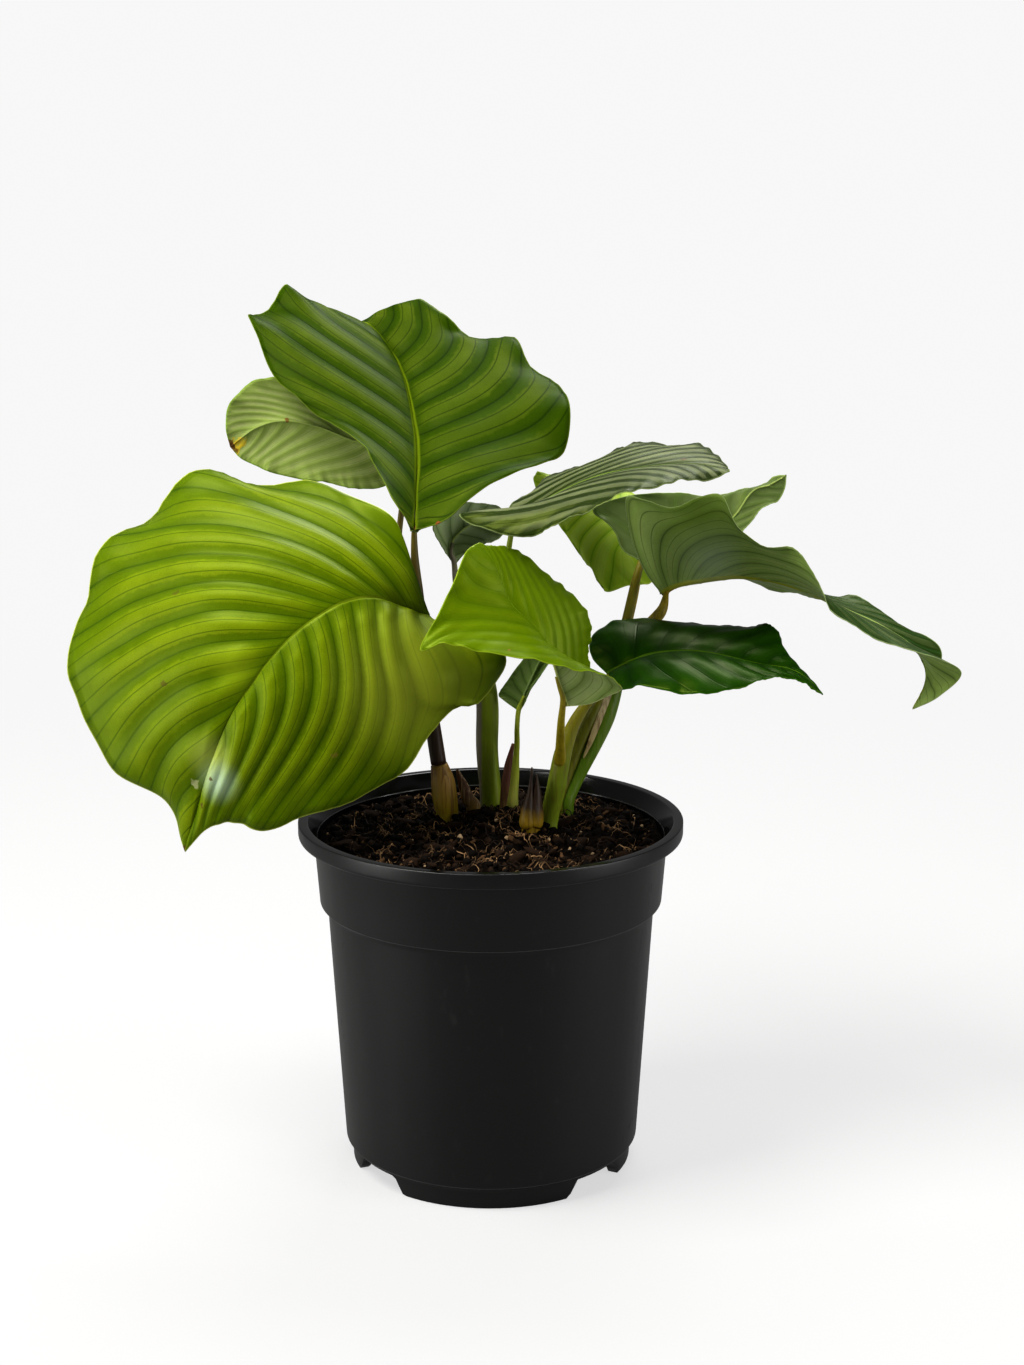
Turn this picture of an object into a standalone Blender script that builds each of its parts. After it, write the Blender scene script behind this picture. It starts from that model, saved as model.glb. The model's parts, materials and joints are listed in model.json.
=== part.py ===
"""A potted calathea: a black nursery pot, the soil in it, and a plant of eleven leaves on five stems.

Sizes are in millimetres, and MM turns them into metres where a mesh is made. X runs to the right, Y to the
back and Z up. The pot stands on Z = 0 with its axis through the origin.
"""

import math
from collections import namedtuple

import bmesh
import bpy
from mathutils import Vector

MM = 0.001
GAP = 0.3

# The pot's driving sizes
POT_HEIGHT = 176.0
RIM_RADIUS = 95.0
RIM_WIDTH = 4.6
LIP_HEIGHT = 7.5
BAND_BOTTOM = 135.0
BAND_RADII = (87.4, 84.8)
WALL_TOP_RADIUS = 81.0
WALL = 1.8
SEAM_HEIGHT = 11.7
SEAM_RADIUS = 73.6
FOOT_RADIUS = 70.2
FOOT_WIDTH = 5.0
FLOOR_TOP = 11.7
FLOOR_BOTTOM = 9.6
CENTRE_PAD_RADIUS = 12.0
ROUNDING = 0.9
POT_SIDES = 64

# The notches between the feet, and the drain holes, as angles from the front
NOTCH_ANGLE = 50.5
NOTCH_SWEEP = 26.5
NOTCH_SLOPE = 5.0
NOTCH_HEIGHT = 8.8
CUT_MARGIN = 6.0
FEET_TURNED = -2.3
DRAIN_HOLES = 8
DRAIN_RADIUS = 4.5
DRAIN_CIRCLE = 46.0

# The soil's surface: its height at the wall, and the mound at the crown
SOIL_EDGE = 167.5
MOUND_HEIGHT = 6.5
MOUND_CENTRE = (8.0, 16.0)
MOUND_RADIUS = 47.0
LUMP_HEIGHT = 1.1
LUMP_FADE = 20.0
SOIL_SIDES = 48
SOIL_RINGS = 7

# A blade's thickness, and the share of its length at which the width of its base is judged
BLADE_THICKNESS = 0.8
LOBE_SHARE = 0.45
PROBE = 0.03

# A stalk is a tube that ends a little under its blade's midrib, near the base
STALK_SIDES = 8
STALK_RING_SPACING = 7.0
STALK_END_RADIUS = 1.3
STALK_END_DROP = 1.1
STALK_BEND = 4.8
STALK_LEAN = 0.9
STALK_SHARE = 0.05

# How deep a stalk stands in the soil, and how far above it the stalk is still straight
BURIED = 24.0
BURIED_STEPS = 3
STRAIGHT = 4.0

SHARP_ANGLE = math.radians(35)

Blade = namedtuple("Blade", "rows columns dome bow ripple ripples colour midrib left right")
Branch = namedtuple("Branch", "blade radii path")
Shoot = namedtuple("Shoot", "colour radii path")


# Each blade is a sheet between three lines, given from the stalk to the tip: its midrib and the two margins,
# left and right as seen from above with the tip ahead. dome is the rise of each half over its width.

BLADES = {
    "blade_front_large": Blade(
        rows=16,
        columns=6,
        dome=0.10,
        bow=0.28,
        ripple=1.6,
        ripples=7,
        colour=(0.23, 0.40, 0.02),
        midrib=[
            (-29, -8, 278), (-41, -15, 284), (-54, -22, 290), (-68, -28, 289), (-82, -33, 282),
            (-95, -37, 272), (-110, -40, 254), (-127, -41, 226), (-147, -31, 167),
        ],
        left=[
            (-29, -8, 278), (-21, -11, 274), (-6, -14, 268), (8, -17, 259), (-4, -23, 240),
            (-15, -26, 238), (-29, -30, 225), (-42, -34, 207), (-67, -38, 194), (-85, -41, 189),
            (-106, -42, 181), (-118, -41, 184), (-128, -40, 184), (-137, -37, 179), (-147, -31, 167),
        ],
        right=[
            (-29, -8, 278), (-37, -4, 300), (-46, 2, 324), (-68, 16, 333), (-90, 27, 340),
            (-111, 33, 335), (-129, 37, 341), (-149, 38, 341), (-169, 32, 321), (-190, 24, 308),
            (-199, 15, 282), (-206, 4, 256), (-200, -6, 233), (-182, -17, 204), (-156, -26, 191),
            (-147, -31, 167),
        ],
    ),
    "blade_top": Blade(
        rows=16,
        columns=6,
        dome=0.08,
        bow=0.15,
        ripple=1.4,
        ripples=6,
        colour=(0.06, 0.17, 0.02),
        midrib=[
            (-37, 10, 317), (-37, 28, 330), (-37, 56, 351), (-40, 76, 366), (-45, 98, 382),
            (-53, 118, 395), (-68, 141, 409), (-81, 160, 402),
        ],
        left=[
            (-37, 10, 317), (-46, 12, 330), (-57, 32, 347), (-66, 46, 356), (-84, 62, 366),
            (-98, 74, 374), (-111, 86, 385), (-121, 104, 403), (-128, 120, 414), (-119, 129, 416),
            (-110, 138, 428), (-102, 142, 422), (-94, 146, 417), (-86, 152, 411), (-81, 160, 402),
        ],
        right=[
            (-37, 10, 317), (-22, 4, 323), (0, 20, 339), (24, 34, 346), (36, 46, 351), (40, 62, 369),
            (35, 78, 381), (20, 92, 390), (11, 110, 403), (-10, 118, 403), (-24, 126, 413),
            (-39, 138, 422), (-53, 142, 417), (-67, 150, 410), (-81, 160, 402),
        ],
    ),
    "blade_back_left": Blade(
        rows=12,
        columns=4,
        dome=0.08,
        bow=0.15,
        ripple=1.0,
        ripples=5,
        colour=(0.22, 0.33, 0.12),
        midrib=[
            (-47, 84, 345), (-60, 88, 349), (-73, 92, 352), (-89, 96, 358), (-108, 99, 361),
            (-123, 101, 357), (-137, 103, 347),
        ],
        left=[
            (-47, 84, 345), (-43, 95, 357), (-50, 104, 371), (-74, 108, 382), (-97, 108, 388),
            (-114, 106, 383), (-125, 105, 381), (-133, 104, 374), (-138, 104, 367), (-139, 103, 357),
            (-137, 103, 347),
        ],
        right=[
            (-47, 84, 345), (-49, 84, 335), (-57, 86, 328), (-69, 88, 327), (-78, 90, 328),
            (-87, 92, 330), (-99, 94, 331), (-114, 97, 334), (-122, 99, 337), (-131, 101, 341),
            (-137, 103, 347),
        ],
    ),
    "blade_centre_small": Blade(
        rows=16,
        columns=5,
        dome=0.06,
        bow=0.0,
        ripple=0.6,
        ripples=5,
        colour=(0.16, 0.34, 0.01),
        midrib=[
            (37, -30, 239), (33, -32, 250), (30, -34, 261), (26, -34, 271), (19, -33, 280),
            (10, -32, 289), (6, -30, 299), (2, -28, 308), (-5, -26, 317),
        ],
        left=[
            (37, -30, 239), (47, -34, 241), (56, -38, 246), (62, -43, 251), (51, -52, 260),
            (38, -58, 263), (19, -60, 268), (-4, -58, 272), (-20, -54, 274), (-32, -52, 271),
            (-23, -46, 288), (-16, -40, 303), (-11, -34, 314), (-5, -26, 317),
        ],
        right=[
            (37, -30, 239), (43, -20, 245), (48, -14, 253), (47, -12, 262), (49, -10, 269),
            (46, -10, 281), (37, -10, 292), (26, -12, 300), (16, -14, 310), (7, -18, 314),
            (0, -22, 315), (-5, -26, 317),
        ],
    ),
    "blade_right_dark": Blade(
        rows=13,
        columns=4,
        dome=0.10,
        bow=0.2,
        ripple=0.8,
        ripples=5,
        colour=(0.02, 0.11, 0.015),
        midrib=[
            (57, 5, 247), (68, 4, 253), (80, 2, 258), (97, 0, 259), (114, -2, 257), (131, -4, 254),
            (145, -6, 252), (154, -8, 247), (161, -10, 240),
        ],
        left=[
            (57, 5, 247), (50, 16, 253), (50, 26, 261), (61, 34, 267), (77, 36, 269), (99, 34, 266),
            (119, 30, 266), (134, 26, 268), (141, 20, 266), (145, 8, 256), (151, -1, 250),
            (156, -6, 246), (161, -10, 240),
        ],
        right=[
            (57, 5, 247), (59, -4, 244), (64, -12, 243), (74, -22, 247), (90, -30, 246),
            (104, -32, 245), (119, -28, 248), (131, -21, 250), (142, -15, 250), (150, -13, 247),
            (156, -12, 243), (161, -10, 240),
        ],
    ),
    "blade_right_upper": Blade(
        rows=13,
        columns=4,
        dome=0.08,
        bow=0.28,
        ripple=1.0,
        ripples=5,
        colour=(0.20, 0.27, 0.11),
        midrib=[
            (8, 8, 320), (21, 6, 329), (36, 4, 337), (53, 2, 345), (74, 0, 349), (95, -2, 351),
            (114, -6, 348),
        ],
        left=[
            (8, 8, 320), (10, 18, 329), (18, 26, 333), (29, 32, 340), (42, 36, 345), (54, 38, 348),
            (64, 40, 354), (73, 40, 357), (89, 36, 354), (101, 30, 358), (108, 18, 354),
            (113, 4, 350), (114, -6, 348),
        ],
        right=[
            (8, 8, 320), (-14, -2, 327), (-8, -12, 323), (7, -22, 320), (24, -28, 322),
            (39, -32, 330), (55, -34, 338), (72, -34, 343), (87, -30, 347), (102, -18, 345),
            (114, -6, 348),
        ],
    ),
    "blade_right_long": Blade(
        rows=20,
        columns=4,
        dome=0.06,
        bow=0.1,
        ripple=0.8,
        ripples=6,
        colour=(0.11, 0.20, 0.05),
        midrib=[
            (86, 48, 279), (91, 47, 282), (97, 46, 284), (105, 44, 286), (120, 41, 289),
            (137, 37, 288), (157, 33, 283), (176, 29, 275), (198, 24, 265), (218, 19, 248),
            (209, 14, 227),
        ],
        left=[
            (86, 48, 279), (96, 58, 282), (107, 66, 286), (120, 70, 286), (134, 68, 281),
            (153, 62, 277), (167, 55, 275), (184, 46, 278), (205, 36, 266), (225, 27, 253),
            (209, 14, 227),
        ],
        right=[
            (86, 48, 279), (79, 42, 289), (71, 40, 305), (67, 44, 328), (77, 47, 327), (91, 47, 323),
            (104, 44, 329), (115, 40, 330), (122, 32, 316), (135, 25, 308), (148, 20, 307),
            (157, 16, 296), (163, 13, 286), (168, 10, 277), (178, 7, 270), (190, 4, 264),
            (202, 1, 261), (218, 0, 255), (230, 2, 248), (221, 8, 235), (209, 14, 227),
        ],
    ),
    "blade_right_back": Blade(
        rows=12,
        columns=4,
        dome=0.06,
        bow=0.15,
        ripple=0.6,
        ripples=4,
        colour=(0.15, 0.25, 0.08),
        midrib=[
            (75, 62, 294), (84, 66, 297), (97, 72, 300), (112, 78, 305), (125, 82, 313),
            (135, 86, 326), (144, 88, 329), (153, 90, 334),
        ],
        left=[
            (75, 62, 294), (86, 60, 293), (101, 62, 296), (114, 66, 301), (125, 72, 305),
            (131, 76, 309), (140, 80, 318), (148, 84, 321), (152, 88, 327), (153, 90, 334),
        ],
        right=[
            (75, 62, 294), (67, 64, 299), (62, 68, 309), (52, 74, 318), (64, 80, 323), (81, 84, 325),
            (98, 88, 325), (115, 90, 323), (130, 92, 326), (141, 92, 329), (147, 92, 333),
            (153, 90, 334),
        ],
    ),
    "blade_back_bright": Blade(
        rows=11,
        columns=4,
        dome=0.08,
        bow=0.2,
        ripple=1.0,
        ripples=5,
        colour=(0.25, 0.42, 0.05),
        midrib=[
            (79, 100, 292), (70, 104, 300), (60, 110, 310), (49, 116, 318), (36, 122, 326),
            (24, 128, 331),
        ],
        left=[
            (79, 100, 292), (87, 94, 285), (83, 90, 277), (71, 88, 276), (59, 88, 273), (56, 94, 281),
            (47, 102, 289), (36, 110, 304), (28, 118, 314), (22, 126, 326), (24, 128, 331),
        ],
        right=[
            (79, 100, 292), (86, 108, 300), (87, 118, 311), (79, 126, 317), (63, 132, 325),
            (46, 134, 329), (33, 131, 328), (24, 128, 331),
        ],
    ),
    "blade_centre_curled": Blade(
        rows=10,
        columns=4,
        dome=0.08,
        bow=0.1,
        ripple=0.5,
        ripples=3,
        colour=(0.12, 0.19, 0.09),
        midrib=[
            (-18, 34, 296), (-20, 34, 304), (-17, 34, 311), (-9, 35, 317), (1, 37, 320), (9, 40, 320),
        ],
        left=[
            (-18, 34, 296), (-13, 33, 302), (-10, 28, 305), (-5, 25, 308), (2, 25, 310), (8, 29, 315),
            (9, 40, 320),
        ],
        right=[
            (-18, 34, 296), (-24, 32, 305), (-29, 32, 315), (-25, 36, 323), (-17, 42, 326),
            (-7, 46, 326), (3, 46, 324), (9, 40, 320),
        ],
    ),
    "blade_low_small": Blade(
        rows=8,
        columns=3,
        dome=0.08,
        bow=0.15,
        ripple=0.3,
        ripples=3,
        colour=(0.11, 0.20, 0.07),
        midrib=[(14, 18, 225), (16, 17, 231), (19, 15, 239), (22, 13, 247), (28, 12, 260)],
        left=[(14, 18, 225), (18, 14, 232), (21, 10, 241), (27, 10, 249), (30, 11, 255), (28, 12, 260)],
        right=[
            (14, 18, 225), (6, 22, 230), (4, 24, 233), (9, 22, 241), (14, 18, 249), (20, 14, 257),
            (28, 12, 260),
        ],
    ),
}

# Each stem is fused from branches. The first stands in the soil, and each one ends under its blade.
STEMS = {
    "stalk_left": [
        Branch("blade_top", radii=(3.9, 3.6, 3.1, 2.5, 2.2), path=[
            (-26, 12, 200), (-28, 12, 214), (-31, 11, 238), (-33, 11, 263), (-35, 12, 285), (-37, 15, 303),
        ]),
        Branch("blade_front_large", radii=(2.6, 2.2, 2.0), path=[
            (-29, 11, 226), (-28, 4, 248), (-28, -1, 264),
        ]),
        Branch("blade_back_left", radii=(2.4, 2.1, 2.0, 1.8), path=[
            (-28, 12, 213), (-34, 34, 227), (-44, 60, 263), (-48, 76, 299), (-46, 79, 328),
        ]),
    ],
    "stalk_centre": [
        Branch("blade_centre_curled", radii=(5.6, 4.9, 4.2, 2.6, 1.9), path=[
            (0, 27, 172), (-2, 26, 203), (-2, 26, 229), (-6, 27, 254), (-13, 27, 274), (-17, 28, 287),
        ]),
        Branch("blade_right_upper", radii=(3.0, 2.3, 2.0), path=[
            (-2, 25, 222), (1, 21, 254), (4, 16, 282), (8, 10, 303),
        ]),
    ],
    "stalk_low": [
        Branch("blade_low_small", radii=(3.6, 2.6, 1.6, 1.4), path=[
            (10, 26, 172), (12, 24, 193), (13, 21, 208), (13, 17, 217),
        ]),
    ],
    "stalk_front": [
        Branch("blade_right_dark", radii=(4.6, 5.0, 4.5, 3.2, 2.4), path=[
            (29, 0, 173), (32, -2, 190), (36, -3, 211), (42, -2, 226), (50, 0, 237),
        ]),
        Branch("blade_centre_small", radii=(3.0, 2.2, 1.9), path=[
            (34, -4, 204), (34, -16, 220), (34, -26, 231),
        ]),
    ],
    "stalk_right": [
        Branch("blade_right_back", radii=(4.0, 5.4, 6.6, 7.2, 5.4, 3.4, 2.6, 2.4), path=[
            (36, 25, 172), (41, 29, 188), (48, 32, 203), (54, 35, 218), (60, 39, 234), (66, 48, 255),
            (71, 54, 274), (74, 57, 286),
        ]),
        Branch("blade_right_long", radii=(3.6, 3.4, 3.4), path=[
            (57, 37, 224), (67, 42, 246), (78, 42, 262), (86, 41, 272),
        ]),
        Branch("blade_back_bright", radii=(2.6, 2.2, 1.8), path=[
            (56, 37, 222), (66, 60, 243), (72, 84, 258), (76, 99, 270), (78, 106, 281),
        ]),
    ],
}
STEM_COLOURS = {
    "stalk_left": (0.05, 0.03, 0.015),
    "stalk_centre": (0.12, 0.17, 0.04),
    "stalk_low": (0.20, 0.30, 0.02),
    "stalk_front": (0.16, 0.24, 0.02),
    "stalk_right": (0.10, 0.18, 0.02),
}

# Pieces that stand in the soil by themselves
SHOOTS = {
    "bulb_left": Shoot(
        colour=(0.33, 0.25, 0.09),
        radii=(5.4, 6.2, 6.0, 4.2),
        path=[(-22, 12, 172), (-23, 12, 182), (-24, 12, 191), (-25.8, 12, 199.4)],
    ),
    "sheath_left": Shoot(
        colour=(0.36, 0.27, 0.14),
        radii=(3.2, 3.0, 2.0, 0.6),
        path=[(-9, 15, 171), (-11, 15, 180), (-14, 15, 188), (-17, 15, 195)],
    ),
    "bract_centre": Shoot(
        colour=(0.20, 0.07, 0.04),
        radii=(1.6, 1.9, 1.6, 0.6),
        path=[(6, 17, 175), (7, 16.5, 186), (8.5, 16.5, 197), (11, 16, 209)],
    ),
    "bud": Shoot(
        colour=(0.07, 0.03, 0.015),
        radii=(5.2, 5.8, 3.8, 0.7),
        path=[(20, -10, 172), (20.5, -10, 181), (21.5, -10, 190), (22, -10, 200)],
    ),
}


def curve_at(points, share, spaced=False):
    """The point at a share of the way along a smooth curve through the points.

    The points are evenly timed, or timed by the square root of their distance where spaced is set.
    """
    points = [Vector(point) for point in points]
    points = [2 * points[0] - points[1], *points, 2 * points[-1] - points[-2]]
    times = [0.0]
    for start, end in zip(points, points[1:]):
        times.append(times[-1] + ((end - start).length ** 0.5 if spaced else 1.0))
    time = times[1] + min(max(share, 0.0), 1.0) * (times[-2] - times[1])
    begun = [index for index in range(1, len(points) - 3) if times[index + 1] <= time]
    first = max(begun, default=0)
    mixed = points[first : first + 4]
    for span in (1, 2):
        steps = range(len(mixed) - 1)
        starts = [times[first + step] for step in steps]
        ends = [times[first + step + span] for step in steps]
        shares = [(time - starts[step]) / (ends[step] - starts[step]) for step in steps]
        mixed = [mixed[step].lerp(mixed[step + 1], shares[step]) for step in steps]
    start, end = times[first + 1], times[first + 2]
    return mixed[0].lerp(mixed[1], (time - start) / (end - start))


def value_at(values, share):
    """A number at a share of the way along an evenly spaced list."""
    place = min(max(share, 0.0), 1.0) * (len(values) - 1)
    first = min(int(place), len(values) - 2)
    return values[first] + (values[first + 1] - values[first]) * (place - first)


def forward_at(blade, share):
    """The direction of a blade's midrib, toward its tip."""
    return (curve_at(blade.midrib, share + PROBE) - curve_at(blade.midrib, share - PROBE)).normalized()


def bow_of(blade, margin, share):
    """How the middle of a rib bows away from a straight line, so that a rib into a lobe clears the stalk."""
    forward = forward_at(blade, share)
    outward = curve_at(margin, share) - curve_at(blade.midrib, share)
    ahead = outward.dot(forward)
    sideways = curve_at(margin, LOBE_SHARE) - curve_at(blade.midrib, LOBE_SHARE)
    sideways = (sideways - forward * sideways.dot(forward)).normalized()
    return blade.bow * (max(-ahead, 0.0) * sideways - ahead * forward)


def half_up(blade, margin, share):
    """The upward direction of one half of a blade, at a share of its length."""
    low = max(share - PROBE, 0.0)
    high = min(share + PROBE, 1.0)
    forward = curve_at(blade.midrib, high) - curve_at(blade.midrib, low)
    forward += curve_at(margin, high) - curve_at(margin, low)
    outward = curve_at(margin, share) - curve_at(blade.midrib, share)
    up = forward.cross(outward)
    if margin is blade.right:
        up.negate()
    return up.normalized()


def blade_point(blade, share, across):
    """A point of a blade's middle surface. across runs from -1 at the left margin to 1 at the right."""
    margin = blade.left if across < 0 else blade.right
    middle = curve_at(blade.midrib, share)
    outward = curve_at(margin, share) - middle
    reach = abs(across)
    bowed = bow_of(blade, margin, share) * math.sin(math.pi * reach)
    domed = blade.dome * outward.length * math.sin(math.pi * reach**0.8)
    wave = math.sin(math.pi * share) * math.sin(2 * math.pi * blade.ripples * share)
    raised = domed + blade.ripple * reach**3 * wave
    return middle + outward * reach + bowed + half_up(blade, margin, share) * raised


def seat_of(blade):
    """The last two points of the stalk that carries a blade: it bends up to the blade's underside."""
    foot = curve_at(blade.midrib, STALK_SHARE)
    up = half_up(blade, blade.left, 2 * STALK_SHARE) + half_up(blade, blade.right, 2 * STALK_SHARE)
    up.normalize()
    bend = foot - up * STALK_BEND - forward_at(blade, STALK_SHARE) * STALK_LEAN
    return [tuple(bend), tuple(foot - up * STALK_END_DROP)]


def paint(name, colour, roughness):
    """A material in one colour."""
    material = bpy.data.materials.new(name)
    material.use_nodes = True
    shader = material.node_tree.nodes["Principled BSDF"]
    shader.inputs["Base Color"].default_value = (*colour, 1)
    shader.inputs["Roughness"].default_value = roughness
    material.diffuse_color = (*colour, 1)
    return material


def add_object(name, mesh, material):
    """An object in the scene, from a mesh in millimetres, with its material and smooth shading."""
    for vertex in mesh.vertices:
        vertex.co *= MM
    mesh.materials.append(material)
    mesh.shade_smooth()
    mesh.set_sharp_from_angle(angle=SHARP_ANGLE)
    obj = bpy.data.objects.new(name, mesh)
    bpy.context.scene.collection.objects.link(obj)
    return obj


def mesh_from(bm, name):
    """A mesh from a bmesh, which this frees, with its faces turned outward."""
    bmesh.ops.recalc_face_normals(bm, faces=bm.faces)
    mesh = bpy.data.meshes.new(name)
    bm.to_mesh(mesh)
    bm.free()
    return mesh


def turned_mesh(name, profile, sides):
    """A solid turned round the Z axis from a profile that starts and ends on the axis."""
    bm = bmesh.new()
    points = [bm.verts.new((radius, 0, height)) for radius, height in profile]
    edges = [bm.edges.new(pair) for pair in zip(points, points[1:])]
    whole = {"axis": (0, 0, 1), "cent": (0, 0, 0), "angle": 2 * math.pi, "steps": sides, "use_merge": True}
    bmesh.ops.spin(bm, geom=points + edges, **whole)
    bmesh.ops.remove_doubles(bm, verts=bm.verts, dist=0.01)
    return mesh_from(bm, name)


def tube_mesh(name, path, radii, widen=0.0):
    """A tube with closed ends along a smooth path, its radius read evenly from a list."""
    length = sum((Vector(end) - Vector(start)).length for start, end in zip(path, path[1:]))
    rings = max(4, round(length / STALK_RING_SPACING))
    bm = bmesh.new()
    side = Vector((1, 0, 0))
    loops = []
    for ring in range(rings + 1):
        share = ring / rings
        centre = curve_at(path, share, spaced=True)
        forward = curve_at(path, share + PROBE, spaced=True) - curve_at(path, share - PROBE, spaced=True)
        forward.normalize()
        side = (side - forward * side.dot(forward)).normalized()
        other = forward.cross(side)
        radius = value_at(radii, share) + widen
        turns = [2 * math.pi * step / STALK_SIDES for step in range(STALK_SIDES)]
        spokes = [math.cos(turn) * side + math.sin(turn) * other for turn in turns]
        loops.append([bm.verts.new(centre + radius * spoke) for spoke in spokes])
    for lower, upper in zip(loops, loops[1:]):
        for step in range(STALK_SIDES):
            after = (step + 1) % STALK_SIDES
            bm.faces.new((lower[step], lower[after], upper[after], upper[step]))
    bm.faces.new(reversed(loops[0]))
    bm.faces.new(loops[-1])
    return mesh_from(bm, name)


def helper_object(name, mesh):
    """A cutter, or a piece that is about to be fused, which isn't part of the model."""
    for vertex in mesh.vertices:
        vertex.co *= MM
    obj = bpy.data.objects.new(name, mesh)
    bpy.context.scene.collection.objects.link(obj)
    obj.hide_render = True
    obj.display_type = "WIRE"
    return obj


def apply_booleans(obj, operation, helpers):
    """Applies one Boolean for each helper object, and removes the helpers."""
    for helper in helpers:
        modifier = obj.modifiers.new(operation.title(), "BOOLEAN")
        modifier.operation = operation
        modifier.object = helper
    graph = bpy.context.evaluated_depsgraph_get()
    result = bpy.data.meshes.new_from_object(obj.evaluated_get(graph))
    obj.modifiers.clear()
    obj.data = result
    for helper in helpers:
        bpy.data.objects.remove(helper)
    result.shade_smooth()
    result.set_sharp_from_angle(angle=SHARP_ANGLE)


def pot_profile():
    """Half of the pot's section: the top of the floor, the wall round its rim, then the underside to the pad."""
    top, bottom = BAND_RADII
    lip_bottom = POT_HEIGHT - LIP_HEIGHT
    return [
        (0, FLOOR_TOP),
        (SEAM_RADIUS - WALL, FLOOR_TOP),
        (WALL_TOP_RADIUS - WALL, BAND_BOTTOM - WALL),
        (bottom - WALL, BAND_BOTTOM + WALL),
        (top - WALL, lip_bottom),
        (RIM_RADIUS - RIM_WIDTH, POT_HEIGHT - ROUNDING),
        (RIM_RADIUS - RIM_WIDTH + ROUNDING, POT_HEIGHT),
        (RIM_RADIUS - ROUNDING, POT_HEIGHT),
        (RIM_RADIUS, POT_HEIGHT - ROUNDING),
        (RIM_RADIUS, lip_bottom + ROUNDING),
        (RIM_RADIUS - ROUNDING, lip_bottom),
        (top, lip_bottom),
        (bottom, BAND_BOTTOM + ROUNDING),
        (bottom - ROUNDING, BAND_BOTTOM),
        (WALL_TOP_RADIUS, BAND_BOTTOM - WALL),
        (SEAM_RADIUS, SEAM_HEIGHT),
        (FOOT_RADIUS + ROUNDING, SEAM_HEIGHT - ROUNDING),
        (FOOT_RADIUS, 0),
        (FOOT_RADIUS - FOOT_WIDTH, 0),
        (FOOT_RADIUS - FOOT_WIDTH - ROUNDING, FLOOR_BOTTOM),
        (CENTRE_PAD_RADIUS + ROUNDING, FLOOR_BOTTOM),
        (CENTRE_PAD_RADIUS, 0),
        (0, 0),
    ]


def notch_mesh(centre_angle):
    """A wedge that cuts one notch in the foot ring, wider at the floor than at its top."""
    bm = bmesh.new()
    corners = []
    levels = ((-1.0, NOTCH_SWEEP + NOTCH_SLOPE), (NOTCH_HEIGHT, NOTCH_SWEEP - NOTCH_SLOPE))
    for height, sweep in levels:
        for radius in (FOOT_RADIUS - FOOT_WIDTH - CUT_MARGIN, FOOT_RADIUS + CUT_MARGIN):
            for side in (-0.5, 0.5):
                turn = math.radians(centre_angle + side * sweep)
                corners.append(bm.verts.new((radius * math.sin(turn), -radius * math.cos(turn), height)))
    bmesh.ops.convex_hull(bm, input=corners)
    return mesh_from(bm, "Notch")


def build_pot():
    black_plastic = paint("Black plastic", (0.012, 0.013, 0.014), 0.42)
    pot = add_object("pot", turned_mesh("Pot", pot_profile(), POT_SIDES), black_plastic)
    cutters = []
    for angle in (-NOTCH_ANGLE, NOTCH_ANGLE, 180 - NOTCH_ANGLE, 180 + NOTCH_ANGLE):
        cutters.append(helper_object("Notch cutter", notch_mesh(angle + FEET_TURNED)))
    for hole in range(DRAIN_HOLES):
        turn = 2 * math.pi * (hole + 0.5) / DRAIN_HOLES
        x = DRAIN_CIRCLE * math.cos(turn)
        y = DRAIN_CIRCLE * math.sin(turn)
        line = [(x, y, FLOOR_BOTTOM - CUT_MARGIN), (x, y, FLOOR_TOP + CUT_MARGIN)]
        cutters.append(helper_object("Drain cutter", tube_mesh("Drill", line, (DRAIN_RADIUS,) * 2)))
    apply_booleans(pot, "DIFFERENCE", cutters)


def soil_height(x, y):
    """The height of the soil's surface: a low mound at the crown, with lumps that fade out at the wall."""
    away = math.hypot(x - MOUND_CENTRE[0], y - MOUND_CENTRE[1]) / MOUND_RADIUS
    mound = MOUND_HEIGHT * math.exp(-away * away)
    lumps = math.sin(0.13 * x + 1.0) * math.cos(0.11 * y) + 0.6 * math.sin(0.21 * x - 0.17 * y)
    from_wall = (BAND_RADII[0] - math.hypot(x, y)) / LUMP_FADE
    return SOIL_EDGE + mound + LUMP_HEIGHT * lumps * min(1.0, from_wall)


def soil_mesh():
    """The soil as a plug that fills the pot, GAP clear of its wall, with a lumpy top."""
    wall = WALL + GAP
    surface_radius = BAND_RADII[0] - wall - GAP
    profile = [
        (0, FLOOR_TOP + GAP),
        (SEAM_RADIUS - wall, FLOOR_TOP + GAP),
        (WALL_TOP_RADIUS - wall, BAND_BOTTOM - WALL),
        (BAND_RADII[1] - wall, BAND_BOTTOM + WALL + GAP),
        (surface_radius, SOIL_EDGE),
    ]
    profile += [(surface_radius * (1 - ring / SOIL_RINGS), SOIL_EDGE) for ring in range(1, SOIL_RINGS + 1)]
    mesh = turned_mesh("Soil", profile, SOIL_SIDES)
    for vertex in mesh.vertices:
        on_top = vertex.co.z > SOIL_EDGE - GAP
        if on_top and vertex.co.xy.length < surface_radius - GAP:
            vertex.co.z = soil_height(vertex.co.x, vertex.co.y)
    return mesh


def buried(path):
    """A path that rises straight out of the soil where the given one starts, and then follows it."""
    x, y, _ = path[0]
    ground = soil_height(x, y)
    heights = (ground - BURIED, ground - BURIED / 2, ground, ground + STRAIGHT)
    return [*((x, y, height) for height in heights), *path[1:]]


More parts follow.
